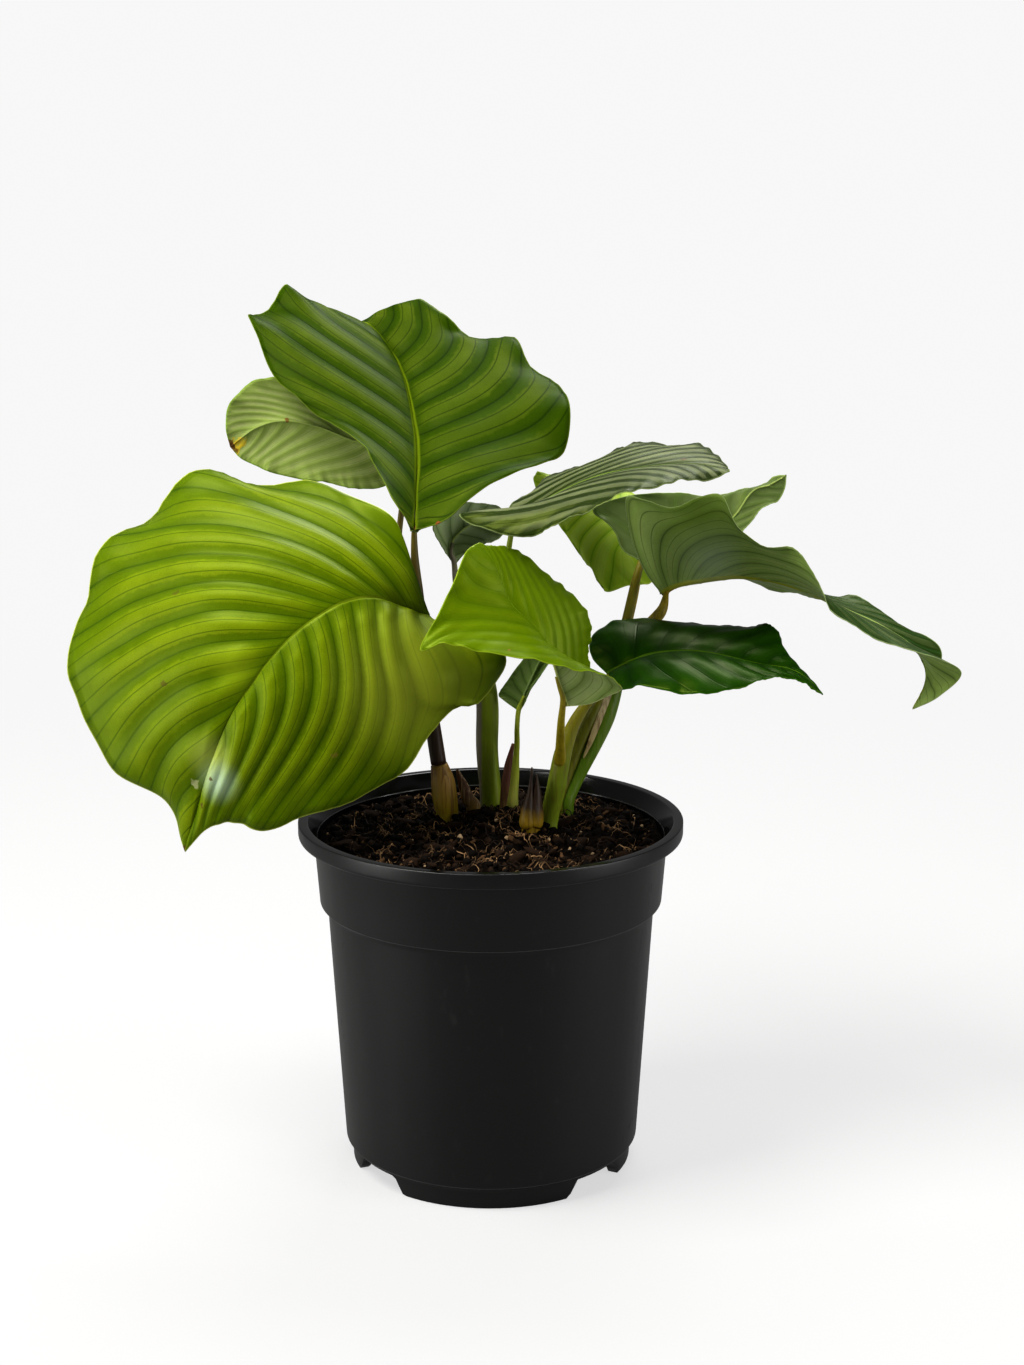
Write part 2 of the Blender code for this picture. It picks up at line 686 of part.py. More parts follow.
def build_soil():
    soil = add_object("soil", soil_mesh(), paint("Soil", (0.03, 0.018, 0.010), 0.95))
    in_soil = [(stem[0].path, stem[0].radii[0]) for name, stem in STEMS.items() if name != "stalk_left"]
    in_soil += [(shoot.path, shoot.radii[0]) for shoot in SHOOTS.values()]
    cutters = []
    for path, radius in in_soil:
        x, y, _ = path[0]
        ground = soil_height(x, y)
        line = [(x, y, ground - BURIED - GAP), (x, y, ground + CUT_MARGIN)]
        cutters.append(helper_object("Hole cutter", tube_mesh("Shaft", line, (radius,) * 2, widen=GAP)))
    apply_booleans(soil, "DIFFERENCE", cutters)


def build_blade(name, blade):
    """A blade: a sheet of triangles between its midrib and margins, thickened alike on both faces."""
    bm = bmesh.new()
    base = bm.verts.new(blade_point(blade, 0, 0))
    tip = bm.verts.new(blade_point(blade, 1, 0))
    steps = [step / blade.columns for step in range(-blade.columns, blade.columns + 1)]
    rows = []
    for row in range(1, blade.rows):
        share = row / blade.rows
        rows.append([bm.verts.new(blade_point(blade, share, across)) for across in steps])
    for left, right in zip(rows[0], rows[0][1:]):
        bm.faces.new((base, right, left))
    for near, far in zip(rows, rows[1:]):
        for place in range(len(steps) - 1):
            if place < blade.columns:
                bm.faces.new((near[place], near[place + 1], far[place]))
                bm.faces.new((near[place + 1], far[place + 1], far[place]))
            else:
                bm.faces.new((near[place], near[place + 1], far[place + 1]))
                bm.faces.new((near[place], far[place + 1], far[place]))
    for left, right in zip(rows[-1], rows[-1][1:]):
        bm.faces.new((left, right, tip))
    obj = add_object(name, mesh_from(bm, name), paint(name, blade.colour, 0.4))
    solid = obj.modifiers.new("Thickness", "SOLIDIFY")
    solid.thickness = BLADE_THICKNESS * MM
    solid.offset = 0
    return obj


def stalk_path(branch, in_soil):
    """A branch's path, from the soil or from its stem to the underside of its blade."""
    path = buried(branch.path) if in_soil else branch.path
    return [*path, *seat_of(BLADES[branch.blade])]


def build_stem(name, branches):
    """A stem: its branches as tubes, fused into one body."""
    pieces = []
    for branch in branches:
        in_soil = branch is branches[0] and name != "stalk_left"
        path = stalk_path(branch, in_soil)
        buried_radii = (branch.radii[0],) * BURIED_STEPS if in_soil else ()
        radii = (*buried_radii, *branch.radii, branch.radii[-1], STALK_END_RADIUS)
        pieces.append(tube_mesh(name, path, radii))
    stem = add_object(name, pieces[0], paint(name, STEM_COLOURS[name], 0.35))
    apply_booleans(stem, "UNION", [helper_object("Branch", piece) for piece in pieces[1:]])


def build_shoot(name, shoot):
    """A bulb, sheath, bract or bud: one tube that tapers to its tip."""
    radii = (shoot.radii[0],) * BURIED_STEPS + shoot.radii
    add_object(name, tube_mesh(name, buried(shoot.path), radii), paint(name, shoot.colour, 0.5))


def main():
    for obj in list(bpy.data.objects):
        bpy.data.objects.remove(obj)
    build_pot()
    build_soil()
    for name, blade in BLADES.items():
        build_blade(name, blade)
    for name, branches in STEMS.items():
        build_stem(name, branches)
    for name, shoot in SHOOTS.items():
        build_shoot(name, shoot)


main()
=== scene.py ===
"""The looks of the potted calathea: a satin black pot, damp soil with roots, and eleven banded leaves.

Points and lengths are in millimetres on the frame's own axes, X to the right, Y to the back and Z up, and MM
turns them into metres where a mesh is made. Every piece rides on the one body, "root".
"""

import json
import math
import random

import bmesh
import bpy
import numpy as np
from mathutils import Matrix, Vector, noise

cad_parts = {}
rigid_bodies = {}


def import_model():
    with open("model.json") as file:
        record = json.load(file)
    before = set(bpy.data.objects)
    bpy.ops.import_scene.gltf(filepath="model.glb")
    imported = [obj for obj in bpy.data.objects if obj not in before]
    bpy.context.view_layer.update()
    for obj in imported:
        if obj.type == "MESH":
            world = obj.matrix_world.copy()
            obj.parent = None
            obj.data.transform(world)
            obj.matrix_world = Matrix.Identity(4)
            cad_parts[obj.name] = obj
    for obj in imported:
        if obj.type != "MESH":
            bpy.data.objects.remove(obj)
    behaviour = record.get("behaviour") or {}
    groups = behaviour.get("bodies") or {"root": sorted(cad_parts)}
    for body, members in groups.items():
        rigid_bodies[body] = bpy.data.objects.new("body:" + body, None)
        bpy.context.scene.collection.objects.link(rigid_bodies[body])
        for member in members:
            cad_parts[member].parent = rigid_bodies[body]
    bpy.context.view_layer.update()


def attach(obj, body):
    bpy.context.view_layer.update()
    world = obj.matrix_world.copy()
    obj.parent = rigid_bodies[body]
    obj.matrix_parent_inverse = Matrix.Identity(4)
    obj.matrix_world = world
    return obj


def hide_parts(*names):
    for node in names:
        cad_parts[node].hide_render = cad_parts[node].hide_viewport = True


for startup_object in list(bpy.data.objects):
    bpy.data.objects.remove(startup_object)
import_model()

# The pot
# One thin moulding in black polypropylene: a flat-topped lip, a band under it, a tapering wall, a seam line
# above the foot ring, four sloped notches between the feet, and a raised floor with eight drain holes.

MM = 0.001
POT_HEIGHT = 176.0
RIM_RADIUS = 95.0
RIM_WIDTH = 4.6
LIP_BOTTOM = 168.5
BAND_RADII = (87.4, 84.8)
BAND_BOTTOM = 135.0
WALL_TOP_RADIUS = 81.0
WALL = 1.8
SEAM_HEIGHT = 11.7
SEAM_RADIUS = 73.6
FOOT_RADIUS = 70.2
FOOT_WIDTH = 5.0
FLOOR_TOP = 11.7
FLOOR_BOTTOM = 9.6
PAD_RADIUS = 12.0
CORNER_ROUNDING = 0.7
POT_SIDES = 192
NOTCH_ANGLES = (-52.8, 48.2, 127.2, 228.2)
NOTCH_SWEEP = 26.5
NOTCH_SLOPE = 5.0
NOTCH_HEIGHT = 8.8
DRAIN_HOLES = 8
DRAIN_RADIUS = 4.5
DRAIN_CIRCLE = 46.0
DRILL_DEPTH = 8.0
SHARP_ANGLE = 50
INSIDE_GLOSS = 0.13


class Wire:
    """A shader value that takes part in sums like a number. Each step of a sum is a Math node."""

    def __init__(self, tree, socket):
        self.tree = tree
        self.socket = socket

    def step(self, operation, other=0.0):
        return wire(self.tree, "Math", 0, {0: self, 1: other}, operation=operation)

    def __add__(self, other):
        return self.step("ADD", other)

    def __sub__(self, other):
        return self.step("SUBTRACT", other)

    def __mul__(self, other):
        return self.step("MULTIPLY", other)

    def __abs__(self):
        return self.step("ABSOLUTE")


def fill(socket, value):
    """Links a wire to a node's input, or sets the input to a number, a vector or a colour."""
    if isinstance(value, Wire):
        value.tree.links.new(value.socket, socket)
    elif socket.type == "RGBA":
        socket.default_value = (*value, 1)
    else:
        socket.default_value = value


def wire(tree, kind, output, inputs=None, **settings):
    """Adds a shader node with its settings and inputs, and gives the wire from one of its outputs."""
    made = tree.nodes.new("ShaderNode" + kind)
    for key, value in settings.items():
        setattr(made, key, value)
    for key, value in (inputs or {}).items():
        fill(made.inputs[key], value)
    return Wire(tree, made.outputs[output])


def set_inputs(node, **values):
    """Fills the inputs of a node by their names."""
    for key, value in values.items():
        fill(node.inputs[key.replace("_", " ").title().replace("Ior", "IOR")], value)


def over(share, under, upper):
    """A colour laid over another by a share."""
    return wire(share.tree, "Mix", 2, {0: share, 6: under, 7: upper}, data_type="RGBA")


def blend(share, low, high):
    """A value between two others by a share."""
    return wire(share.tree, "Mix", 0, {0: share, 2: low, 3: high}, data_type="FLOAT")


def smooth_step(value, low, high):
    """0 below low and 1 above high, with a smooth change between."""
    limits = {"Value": value, "From Min": low, "From Max": high}
    return wire(value.tree, "MapRange", 0, limits, interpolation_type="SMOOTHSTEP")


def new_material(name, **values):
    """A material with a Principled BSDF. Returns the material, its node tree and its shader."""
    material = bpy.data.materials.new(name)
    material.use_nodes = True
    shader = material.node_tree.nodes["Principled BSDF"]
    set_inputs(shader, **values)
    return material, material.node_tree, shader


def clouds(place, detail, roughness=0.5, scale=1.0):
    """Noise from 0 to 1 over a place."""
    settings = {"Vector": place, "Scale": scale, "Detail": detail, "Roughness": roughness}
    return wire(place.tree, "TexNoise", "Fac", settings)


def mottle(tree, scale, detail=4.0, stretch=(1, 1, 1)):
    """Noise from 0 to 1 in the object's own space, with a scale in lumps per metre on each axis."""
    lumps = [scale * axis for axis in stretch]
    place = wire(tree, "Mapping", 0, {"Vector": wire(tree, "TexCoord", "Object"), "Scale": lumps})
    return clouds(place, detail, 0.6)


def bump(shader, height, strength, distance):
    """Turns a height into the shader's normal. distance is in metres."""
    settings = {"Height": height, "Strength": strength, "Distance": distance}
    set_inputs(shader, normal=wire(height.tree, "Bump", 0, settings))


def add_object(name, data):
    """An object in the scene that holds this mesh, light or camera."""
    made = bpy.data.objects.new(name, data)
    bpy.context.scene.collection.objects.link(made)
    return made


def add_piece(name, points, faces, materials, slots=None, uvs=None):
    """A mesh object from points in millimetres, riding on the root body."""
    mesh = bpy.data.meshes.new(name)
    mesh.from_pydata((np.asarray(points, float) * MM).tolist(), [], faces)
    for material in materials:
        mesh.materials.append(material)
    if slots is not None:
        mesh.polygons.foreach_set("material_index", slots)
    for label, values in (uvs or {}).items():
        layer = mesh.uv_layers.new(name=label)
        layer.data.foreach_set("uv", np.asarray(values, np.float32).ravel())
    mesh.shade_smooth()
    mesh.validate()
    piece = add_object(name, mesh)
    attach(piece, "root")
    return piece


def rounded(profile, radius, steps=4):
    """A profile with each corner replaced by a short curve."""
    points = [profile[0]]
    for before, corner, after in zip(profile, profile[1:], profile[2:]):
        corner = np.array(corner, float)
        ends = []
        for other in (before, after):
            way = np.array(other, float) - corner
            length = np.linalg.norm(way)
            ends.append(corner + way * min(radius, 0.45 * length) / length)
        for step in range(steps + 1):
            share = step / steps
            place = (1 - share) ** 2 * ends[0] + 2 * share * (1 - share) * corner + share**2 * ends[1]
            points.append(tuple(place))
    points.append(profile[-1])
    return points


def turned(profile, sides):
    """Points and faces of a solid turned round Z, from a profile that starts and ends on the axis."""
    turns = np.arange(sides) * 2 * math.pi / sides
    points = [(0, 0, profile[0][1]), (0, 0, profile[-1][1])]
    for radius, height in profile[1:-1]:
        points += [(radius * math.cos(turn), radius * math.sin(turn), height) for turn in turns]
    faces = []
    last = 2 + (len(profile) - 3) * sides
    for step in range(sides):
        after = (step + 1) % sides
        faces.append((0, 2 + step, 2 + after))
        faces.append((1, last + after, last + step))
        for ring in range(len(profile) - 3):
            low = 2 + ring * sides
            faces.append((low + step, low + sides + step, low + sides + after, low + after))
    return np.array(points, float), faces


def pot_profile():
    """Half of the pot's section: the floor's top, the wall round its rim, then the underside to the pad."""
    top, bottom = BAND_RADII
    return [
        (0, FLOOR_TOP),
        (SEAM_RADIUS - WALL, FLOOR_TOP),
        (WALL_TOP_RADIUS - WALL, BAND_BOTTOM - WALL),
        (bottom - WALL, BAND_BOTTOM + WALL),
        (top - WALL, LIP_BOTTOM),
        (RIM_RADIUS - RIM_WIDTH, POT_HEIGHT),
        (RIM_RADIUS, POT_HEIGHT),
        (RIM_RADIUS, LIP_BOTTOM + 1.2),
        (RIM_RADIUS - 0.5, LIP_BOTTOM),
        (top, LIP_BOTTOM),
        (bottom, BAND_BOTTOM),
        (WALL_TOP_RADIUS + 0.8, BAND_BOTTOM - 0.6),
        (WALL_TOP_RADIUS, BAND_BOTTOM - 3),
        (SEAM_RADIUS + 0.15, SEAM_HEIGHT + 1.0),
        (SEAM_RADIUS, SEAM_HEIGHT),
        (FOOT_RADIUS + 1.2, SEAM_HEIGHT - 1.0),
        (FOOT_RADIUS + 0.4, NOTCH_HEIGHT),
        (FOOT_RADIUS, 0),
        (FOOT_RADIUS - FOOT_WIDTH, 0),
        (FOOT_RADIUS - FOOT_WIDTH - 0.9, FLOOR_BOTTOM),
        (PAD_RADIUS + 0.9, FLOOR_BOTTOM),
        (PAD_RADIUS, 0),
        (0, 0),
    ]


def cut_notches(points):
    """Raises the foot ring's underside at each notch, with sloped ends."""
    radii = np.hypot(points[:, 0], points[:, 1])
    angles = np.degrees(np.arctan2(points[:, 0], -points[:, 1]))
    in_ring = (radii > FOOT_RADIUS - FOOT_WIDTH - 2) & (points[:, 2] < NOTCH_HEIGHT)
    for centre in NOTCH_ANGLES:
        away = np.abs((angles - centre + 180) % 360 - 180)
        rise = np.clip((NOTCH_SWEEP / 2 + NOTCH_SLOPE / 2 - away) / NOTCH_SLOPE, 0, 1) * NOTCH_HEIGHT
        points[:, 2] = np.where(in_ring, np.maximum(points[:, 2], rise), points[:, 2])


plastic, tree, shader = new_material("Black polypropylene", specular_ior_level=0.38)
streaks = mottle(tree, 60, 4, stretch=(1, 1, 0.12))
scuffs = smooth_step(mottle(tree, 140, 6, stretch=(1, 1, 0.5)), 0.60, 0.74)
dust = smooth_step(mottle(tree, 26, 5), 0.55, 0.85)
black = over(dust * 0.5, (0.0028, 0.0029, 0.0030), (0.007, 0.007, 0.007))
black = over(scuffs * 0.10, black, (0.05, 0.05, 0.05))
place = wire(tree, "TexCoord", "Object")
height = wire(tree, "SeparateXYZ", 2, {0: place})
# Thin pale lines at the seam, the band's step and the lip's underside are painted highlights on those rounded
# edges, broken up by a mottle.
for corner, strength in ((SEAM_HEIGHT, 0.4), (BAND_BOTTOM, 0.5), (LIP_BOTTOM, 0.5)):
    highlight_line = smooth_step(abs(height - corner * MM), 0.45 * MM, 0.1 * MM) * strength
    black = over(highlight_line * smooth_step(mottle(tree, 60, 4), 0.15, 0.55), black, (0.16, 0.16, 0.16))
level = wire(tree, "VectorMath", 0, {0: place, 1: (1, 1, 0)}, operation="MULTIPLY")
spoke = wire(tree, "VectorMath", 0, {0: level}, operation="NORMALIZE")
normal = wire(tree, "NewGeometry", "Normal")
facing = wire(tree, "VectorMath", "Value", {0: normal, 1: spoke}, operation="DOT_PRODUCT")
satin = blend(smooth_step(facing, 0.3, 0.7), INSIDE_GLOSS, streaks * 0.18 + 0.31 + scuffs * 0.12)
set_inputs(shader, base_color=black, roughness=satin)
bump(shader, mottle(tree, 900, 3) * 0.5 + streaks, 0.04, 0.0005)

pot_points, pot_faces = turned(rounded(pot_profile(), CORNER_ROUNDING), POT_SIDES)
cut_notches(pot_points)
pot = add_piece("pot_shell", pot_points, pot_faces, [plastic])
drills = bmesh.new()
for hole in range(DRAIN_HOLES):
    turn = 2 * math.pi * (hole + 0.5) / DRAIN_HOLES
    radius = DRAIN_RADIUS * MM
    made = bmesh.ops.create_cone(
        drills, cap_ends=True, segments=32, radius1=radius, radius2=radius, depth=DRILL_DEPTH * MM
    )
    centre = Vector((DRAIN_CIRCLE * math.cos(turn), DRAIN_CIRCLE * math.sin(turn), FLOOR_BOTTOM + 1))
    bmesh.ops.translate(drills, verts=made["verts"], vec=centre * MM)
drill_mesh = bpy.data.meshes.new("Drain drills")
drills.to_mesh(drill_mesh)
drills.free()
drill = add_object("Drain_drills", drill_mesh)
cut = pot.modifiers.new("Drains", "BOOLEAN")
cut.operation = "DIFFERENCE"
cut.object = drill
drilled = bpy.data.meshes.new_from_object(pot.evaluated_get(bpy.context.evaluated_depsgraph_get()))
pot.modifiers.clear()
pot.data = drilled
bpy.data.objects.remove(drill)
drilled.shade_smooth()
drilled.set_sharp_from_angle(angle=math.radians(SHARP_ANGLE))
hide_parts("pot")

# The soil
# Damp black-brown peat and coir that fills the pot to a finger's width below the rim, a little mounded at
# the crown. Its surface is all small crumbs, bark, dry roots and a few pale grains of perlite.

SOIL_EDGE = 167.5
SOIL_RADIUS = 85.0
MOUND_HEIGHT = 6.5
MOUND_CENTRE = (8.0, 16.0)
MOUND_RADIUS = 47.0
CROWN_HEIGHT = 3.6
CROWN_CENTRE = (8.0, -2.0)
CROWN_SPREAD = 520.0
LUMP_HEIGHT = 1.1
LUMP_FADE = 20.0
SOIL_RINGS = 84
SOIL_SIDES = 220
SOIL_PLUG = ((82.4, 137.0), (78.6, 133.0), (71.4, 12.1))


def soil_height(x, y):
    """The height of the soil's surface, without its crumbs."""
    away = math.hypot(x - MOUND_CENTRE[0], y - MOUND_CENTRE[1]) / MOUND_RADIUS
    mound = MOUND_HEIGHT * math.exp(-away * away)
    lumps = math.sin(0.13 * x + 1.0) * math.cos(0.11 * y) + 0.6 * math.sin(0.21 * x - 0.17 * y)
    from_wall = (BAND_RADII[0] - math.hypot(x, y)) / LUMP_FADE
    return SOIL_EDGE + mound + LUMP_HEIGHT * lumps * min(1.0, from_wall)


def crumbly_height(x, y):
    """The soil's surface with its crumbs, raised a little more in front of the stems."""
    coarse = noise.noise(Vector((x, y, 3.0)) * 0.16)
    fine = noise.turbulence(Vector((x, y, 9.0)) * 0.42, 3, False)
    crown = CROWN_HEIGHT * math.exp(-((x - CROWN_CENTRE[0]) ** 2 + (y - CROWN_CENTRE[1]) ** 2) / CROWN_SPREAD)
    return soil_height(x, y) - 2.2 + crown + 2.6 * coarse + 2.0 * fine


soil_profile = [(SOIL_RADIUS * ring / SOIL_RINGS, 0) for ring in range(SOIL_RINGS + 1)]
soil_profile += [*SOIL_PLUG, (0, SOIL_PLUG[-1][1])]
soil_points, soil_faces = turned(soil_profile, SOIL_SIDES)
for point in (soil_points[0], *soil_points[2 : 2 + SOIL_RINGS * SOIL_SIDES]):
    point[2] = crumbly_height(point[0], point[1])

earth, tree, shader = new_material("Damp peat", roughness=0.95, specular_ior_level=0.04)
lumps = mottle(tree, 420, 8)
fibres = smooth_step(mottle(tree, 500, 5, stretch=(1, 0.25, 1)), 0.58, 0.72)
brown = over(smooth_step(lumps, 0.35, 0.7), (0.0012, 0.0008, 0.0005), (0.0085, 0.0050, 0.0028))
brown = over(fibres * 0.3, brown, (0.07, 0.04, 0.02))
brown = over(mottle(tree, 70, 4) * 0.35, brown, (0.006, 0.004, 0.003))
set_inputs(shader, base_color=brown)
bump(shader, lumps, 0.9, 0.0012)

soil = add_piece("soil_surface", soil_points, soil_faces, [earth])
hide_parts("soil")

# Crumbs, bark and perlite on the soil
# Loose bits from half a millimetre to 4 mm across, thicker near the crown: dark peat crumbs, brown bark, and
# a few pale grains.

CRUMBS = 1700
WALL_GAP = 3.0
CRUMB_TONES = {
    "peat": (0.0038, 0.0023, 0.0014),
    "bark": (0.018, 0.0095, 0.0048),
    "fibre": (0.085, 0.047, 0.022),
    "perlite": (0.34, 0.24, 0.14),
}
CRUMB_SHARES = (56, 28, 13, 3)

ball = bmesh.new()
bmesh.ops.create_icosphere(ball, subdivisions=2, radius=1.0)
ball_points = np.array([tuple(vertex.co) for vertex in ball.verts])
ball_faces = [tuple(vertex.index for vertex in face.verts) for face in ball.faces]
ball.free()

draw = random.Random(11)
crumb_points = []
crumb_faces = []
crumb_slots = []
for crumb in range(CRUMBS):
    radius = (SOIL_RADIUS - WALL_GAP) * draw.random() ** 0.55
    turn = draw.uniform(0, 2 * math.pi)
    x = radius * math.cos(turn)
    y = radius * math.sin(turn)
    kind = draw.choices(range(4), weights=CRUMB_SHARES)[0]
    size = draw.uniform(0.4, 1.0) + (1.9 if kind < 2 else 0.5) * draw.random() ** 3
    long = draw.uniform(1.2, 3.6) if kind in (1, 2) else draw.uniform(0.9, 1.4)
    spin = Vector((draw.gauss(0, 1), draw.gauss(0, 1), draw.gauss(0, 0.35))).normalized()
    away = spin.orthogonal().normalized()
    other = spin.cross(away)
    axes = np.array([spin * long * size, away * size, other * size * draw.uniform(0.5, 0.9)])
    rough = [1 + 0.75 * noise.noise(Vector(point) * 2.3 + Vector((crumb, 0, 0))) for point in ball_points]
    centre = np.array((x, y, crumbly_height(x, y) + 0.35 * size))
    first = len(crumb_points) * len(ball_points)
    crumb_points.append((ball_points * np.array(rough)[:, None]) @ axes + centre)
    crumb_faces += [tuple(first + place for place in face) for face in ball_faces]
    crumb_slots += [kind] * len(ball_faces)

crumb_materials = []
for tone, colour in CRUMB_TONES.items():
    material, tree, shader = new_material("Soil " + tone, roughness=0.85, specular_ior_level=0.08)
    dark, light = ([factor * part for part in colour] for factor in (0.45, 1.5))
    set_inputs(shader, base_color=over(mottle(tree, 700, 5), dark, light))
    bump(shader, mottle(tree, 1500, 4), 0.6, 0.0004)
    crumb_materials.append(material)
crumbs = add_piece("soil_crumbs", np.concatenate(crumb_points), crumb_faces, crumb_materials, crumb_slots)

# Dry roots on the soil
# Thin wiry roots that have come up and dried, pale brown, curled and half buried.

ROOTS = 430
ROOT_SIDES = 5
ROOT_STEPS = 16
ROOT_SPREAD = 80.0
SHORTEST_ROOT = 5


def tube(path, radii, sides, flat, first):
    """Points and faces of a tube with closed ends round a list of points, with one radius for each."""
    path = np.asarray(path, float)
    ways = np.gradient(path, axis=0)
    ways /= np.linalg.norm(ways, axis=1)[:, None]
    side = np.array((1.0, 0.0, 0.0)) if abs(ways[0][0]) < 0.9 else np.array((0.0, 1.0, 0.0))
    points = []
    for centre, way, radius in zip(path, ways, radii):
        side = side - way * (side @ way)
        side /= np.linalg.norm(side)
        other = np.cross(way, side)
        for step in range(sides):
            turn = 2 * math.pi * step / sides
            points.append(centre + radius * (math.cos(turn) * side + flat * math.sin(turn) * other))
    faces = []
    for ring in range(len(path) - 1):
        low = first + ring * sides
        for step in range(sides):
            after = (step + 1) % sides
            faces.append((low + step, low + after, low + sides + after, low + sides + step))
    faces.append(tuple(reversed(range(first, first + sides))))
    faces.append(tuple(range(first + (len(path) - 1) * sides, first + len(path) * sides)))
    return points, faces


def add_tubes(name, lines, sides, materials, flat=1.0):
    """One piece made of tubes, each from its path and radii. The last material serves those left over."""
    points = []
    faces = []
    slots = []
    for which, (path, radii) in enumerate(lines):
        made_points, made_faces = tube(path, radii, sides, flat, len(points))
        points += made_points
        faces += made_faces
        slots += [min(which, len(materials) - 1)] * len(made_faces)
    return add_piece(name, points, faces, materials, slots)


root_lines = []
for root in range(ROOTS):
    radius = ROOT_SPREAD * draw.random() ** 0.6
    turn = draw.uniform(0, 2 * math.pi)
    x = radius * math.cos(turn)
    y = radius * math.sin(turn)
    heading = draw.uniform(0, 2 * math.pi)
    bend = draw.uniform(-0.8, 0.8)
    lift = draw.uniform(0.4, 3.4)
    thick = draw.uniform(0.14, 0.42)
    stride = draw.uniform(0.7, 1.5)
    path = []
    for step in range(ROOT_STEPS):
        bend += draw.uniform(-0.28, 0.28)
        heading += bend * 0.55
        x += stride * math.cos(heading)
        y += stride * math.sin(heading)
        if math.hypot(x, y) > SOIL_RADIUS - WALL_GAP:
            break
        raised = lift * math.sin(math.pi * step / (ROOT_STEPS - 1)) + 0.5 * math.sin(step * 1.3 + root)
        path.append((x, y, crumbly_height(x, y) + 0.2 + raised))
    if len(path) >= SHORTEST_ROOT:
        radii = [thick * (1 - 0.6 * step / len(path)) for step in range(len(path))]
        root_lines.append((path, radii))

dry_root, tree, shader = new_material("Dry root", roughness=0.7, specular_ior_level=0.15)
tan = over(smooth_step(mottle(tree, 70, 4), 0.44, 0.68), (0.012, 0.006, 0.003), (0.38, 0.23, 0.11))
set_inputs(shader, base_color=tan)
bump(shader, mottle(tree, 1800, 3), 0.5, 0.0003)
roots = add_tubes("soil_roots", root_lines, ROOT_SIDES, [dry_root])

# How every leaf is made
# A calathea's leaf is a thin blade on one midrib. Its side veins leave the midrib close together, run out in
# even curves and carry pale bands between them, and the tissue is puffed up a little between the veins.

LEAF_ROWS = 136
LEAF_COLUMNS = 34
LEAF_THICKNESS = 0.55
PROBE = 0.03
LOBE_SHARE = 0.45
SEAT_SHARE = 0.05
LEFT_OFFSET = 0.43
EASING = 160
EDGE_WAVES = 14
QUICK_WAVES = 31


def curve_at(points, shares):
    """Points at shares of the way along a smooth, evenly timed curve through the given points."""
    points = np.asarray(points, float)
    points = np.vstack([2 * points[0] - points[1], points, 2 * points[-1] - points[-2]])
    places = np.clip(shares, 0, 1) * (len(points) - 3)
    first = np.minimum(places.astype(int), len(points) - 4)
    t = (places - first)[:, None]
    a, b, c, d = (points[first + step] for step in range(4))
    return 0.5 * (2 * b + (c - a) * t + (2 * a - 5 * b + 4 * c - d) * t**2 + (3 * b - a - 3 * c + d) * t**3)


def unit(vectors):
    """Vectors of length 1."""
    return vectors / np.maximum(np.linalg.norm(vectors, axis=-1, keepdims=True), 1e-9)


def dot(first, second):
    return np.sum(first * second, axis=-1, keepdims=True)


def waves(turns):
    return np.sin(2 * math.pi * turns)


class Leaf:
    """A leaf's form: its midrib and, as seen from above, its left and right margins, from stalk to tip.

    The margins start and end where the midrib does, so only the points between are given for them.
    """

    def __init__(self, midrib, left, right, dome, bow, ripple, ripples):
        self.midrib = midrib
        self.sides = {-1: [midrib[0], *left, midrib[-1]], 1: [midrib[0], *right, midrib[-1]]}
        self.dome = dome
        self.bow = bow
        self.ripple = ripple
        self.ripples = ripples

    def forward(self, shares):
        return unit(curve_at(self.midrib, shares + PROBE) - curve_at(self.midrib, shares - PROBE))

    def outward(self, side, shares):
        return curve_at(self.sides[side], shares) - curve_at(self.midrib, shares)

    def half_up(self, side, shares):
        """The upward direction of one half of the leaf."""
        low = np.maximum(shares - PROBE, 0)
        high = np.minimum(shares + PROBE, 1)
        margin = self.sides[side]
        ahead = curve_at(self.midrib, high) - curve_at(self.midrib, low)
        ahead += curve_at(margin, high) - curve_at(margin, low)
        return unit(np.cross(ahead, self.outward(side, shares)) * -side)

    def half(self, side, shares, reaches):
        """A grid of points of one half, a row for each share and a column for each reach from the midrib."""
        outward = self.outward(side, shares)
        forward = self.forward(shares)
        ahead = dot(outward, forward)
        sideways = self.outward(side, np.array([LOBE_SHARE]))
        sideways = unit(sideways - forward * dot(sideways, forward))
        bowed = self.bow * (np.maximum(-ahead, 0) * sideways - ahead * forward)
        up = self.half_up(side, shares)
        width = np.linalg.norm(outward, axis=1, keepdims=True)
        wave = np.sin(math.pi * shares) * waves(self.ripples * shares)
        bulge = np.sin(math.pi * reaches)
        rise = self.dome * width * np.sin(math.pi * reaches**0.8)
        rise = rise + self.ripple * wave[:, None] * reaches**3
        middle = curve_at(self.midrib, shares)[:, None]
        flat = middle + outward[:, None] * reaches[:, None] + bowed[:, None] * bulge[:, None]
        return flat + up[:, None] * rise[..., None]

    def at(self, share, across):
        """One point of the leaf. across runs from -1 at the left margin to 1 at the right."""
        side = -1 if across < 0 else 1
        return self.half(side, np.array([share]), np.array([abs(across)]))[0, 0]

    def seat(self):
        """Where the stalk meets the leaf, the upward direction there, and the length of the midrib."""
        share = np.array([SEAT_SHARE])
        foot = curve_at(self.midrib, share)[0]
        up = unit(self.half_up(-1, 2 * share) + self.half_up(1, 2 * share))[0]
        return foot - up * 0.8, up, np.linalg.norm(np.diff(self.midrib, axis=0), axis=1).sum()


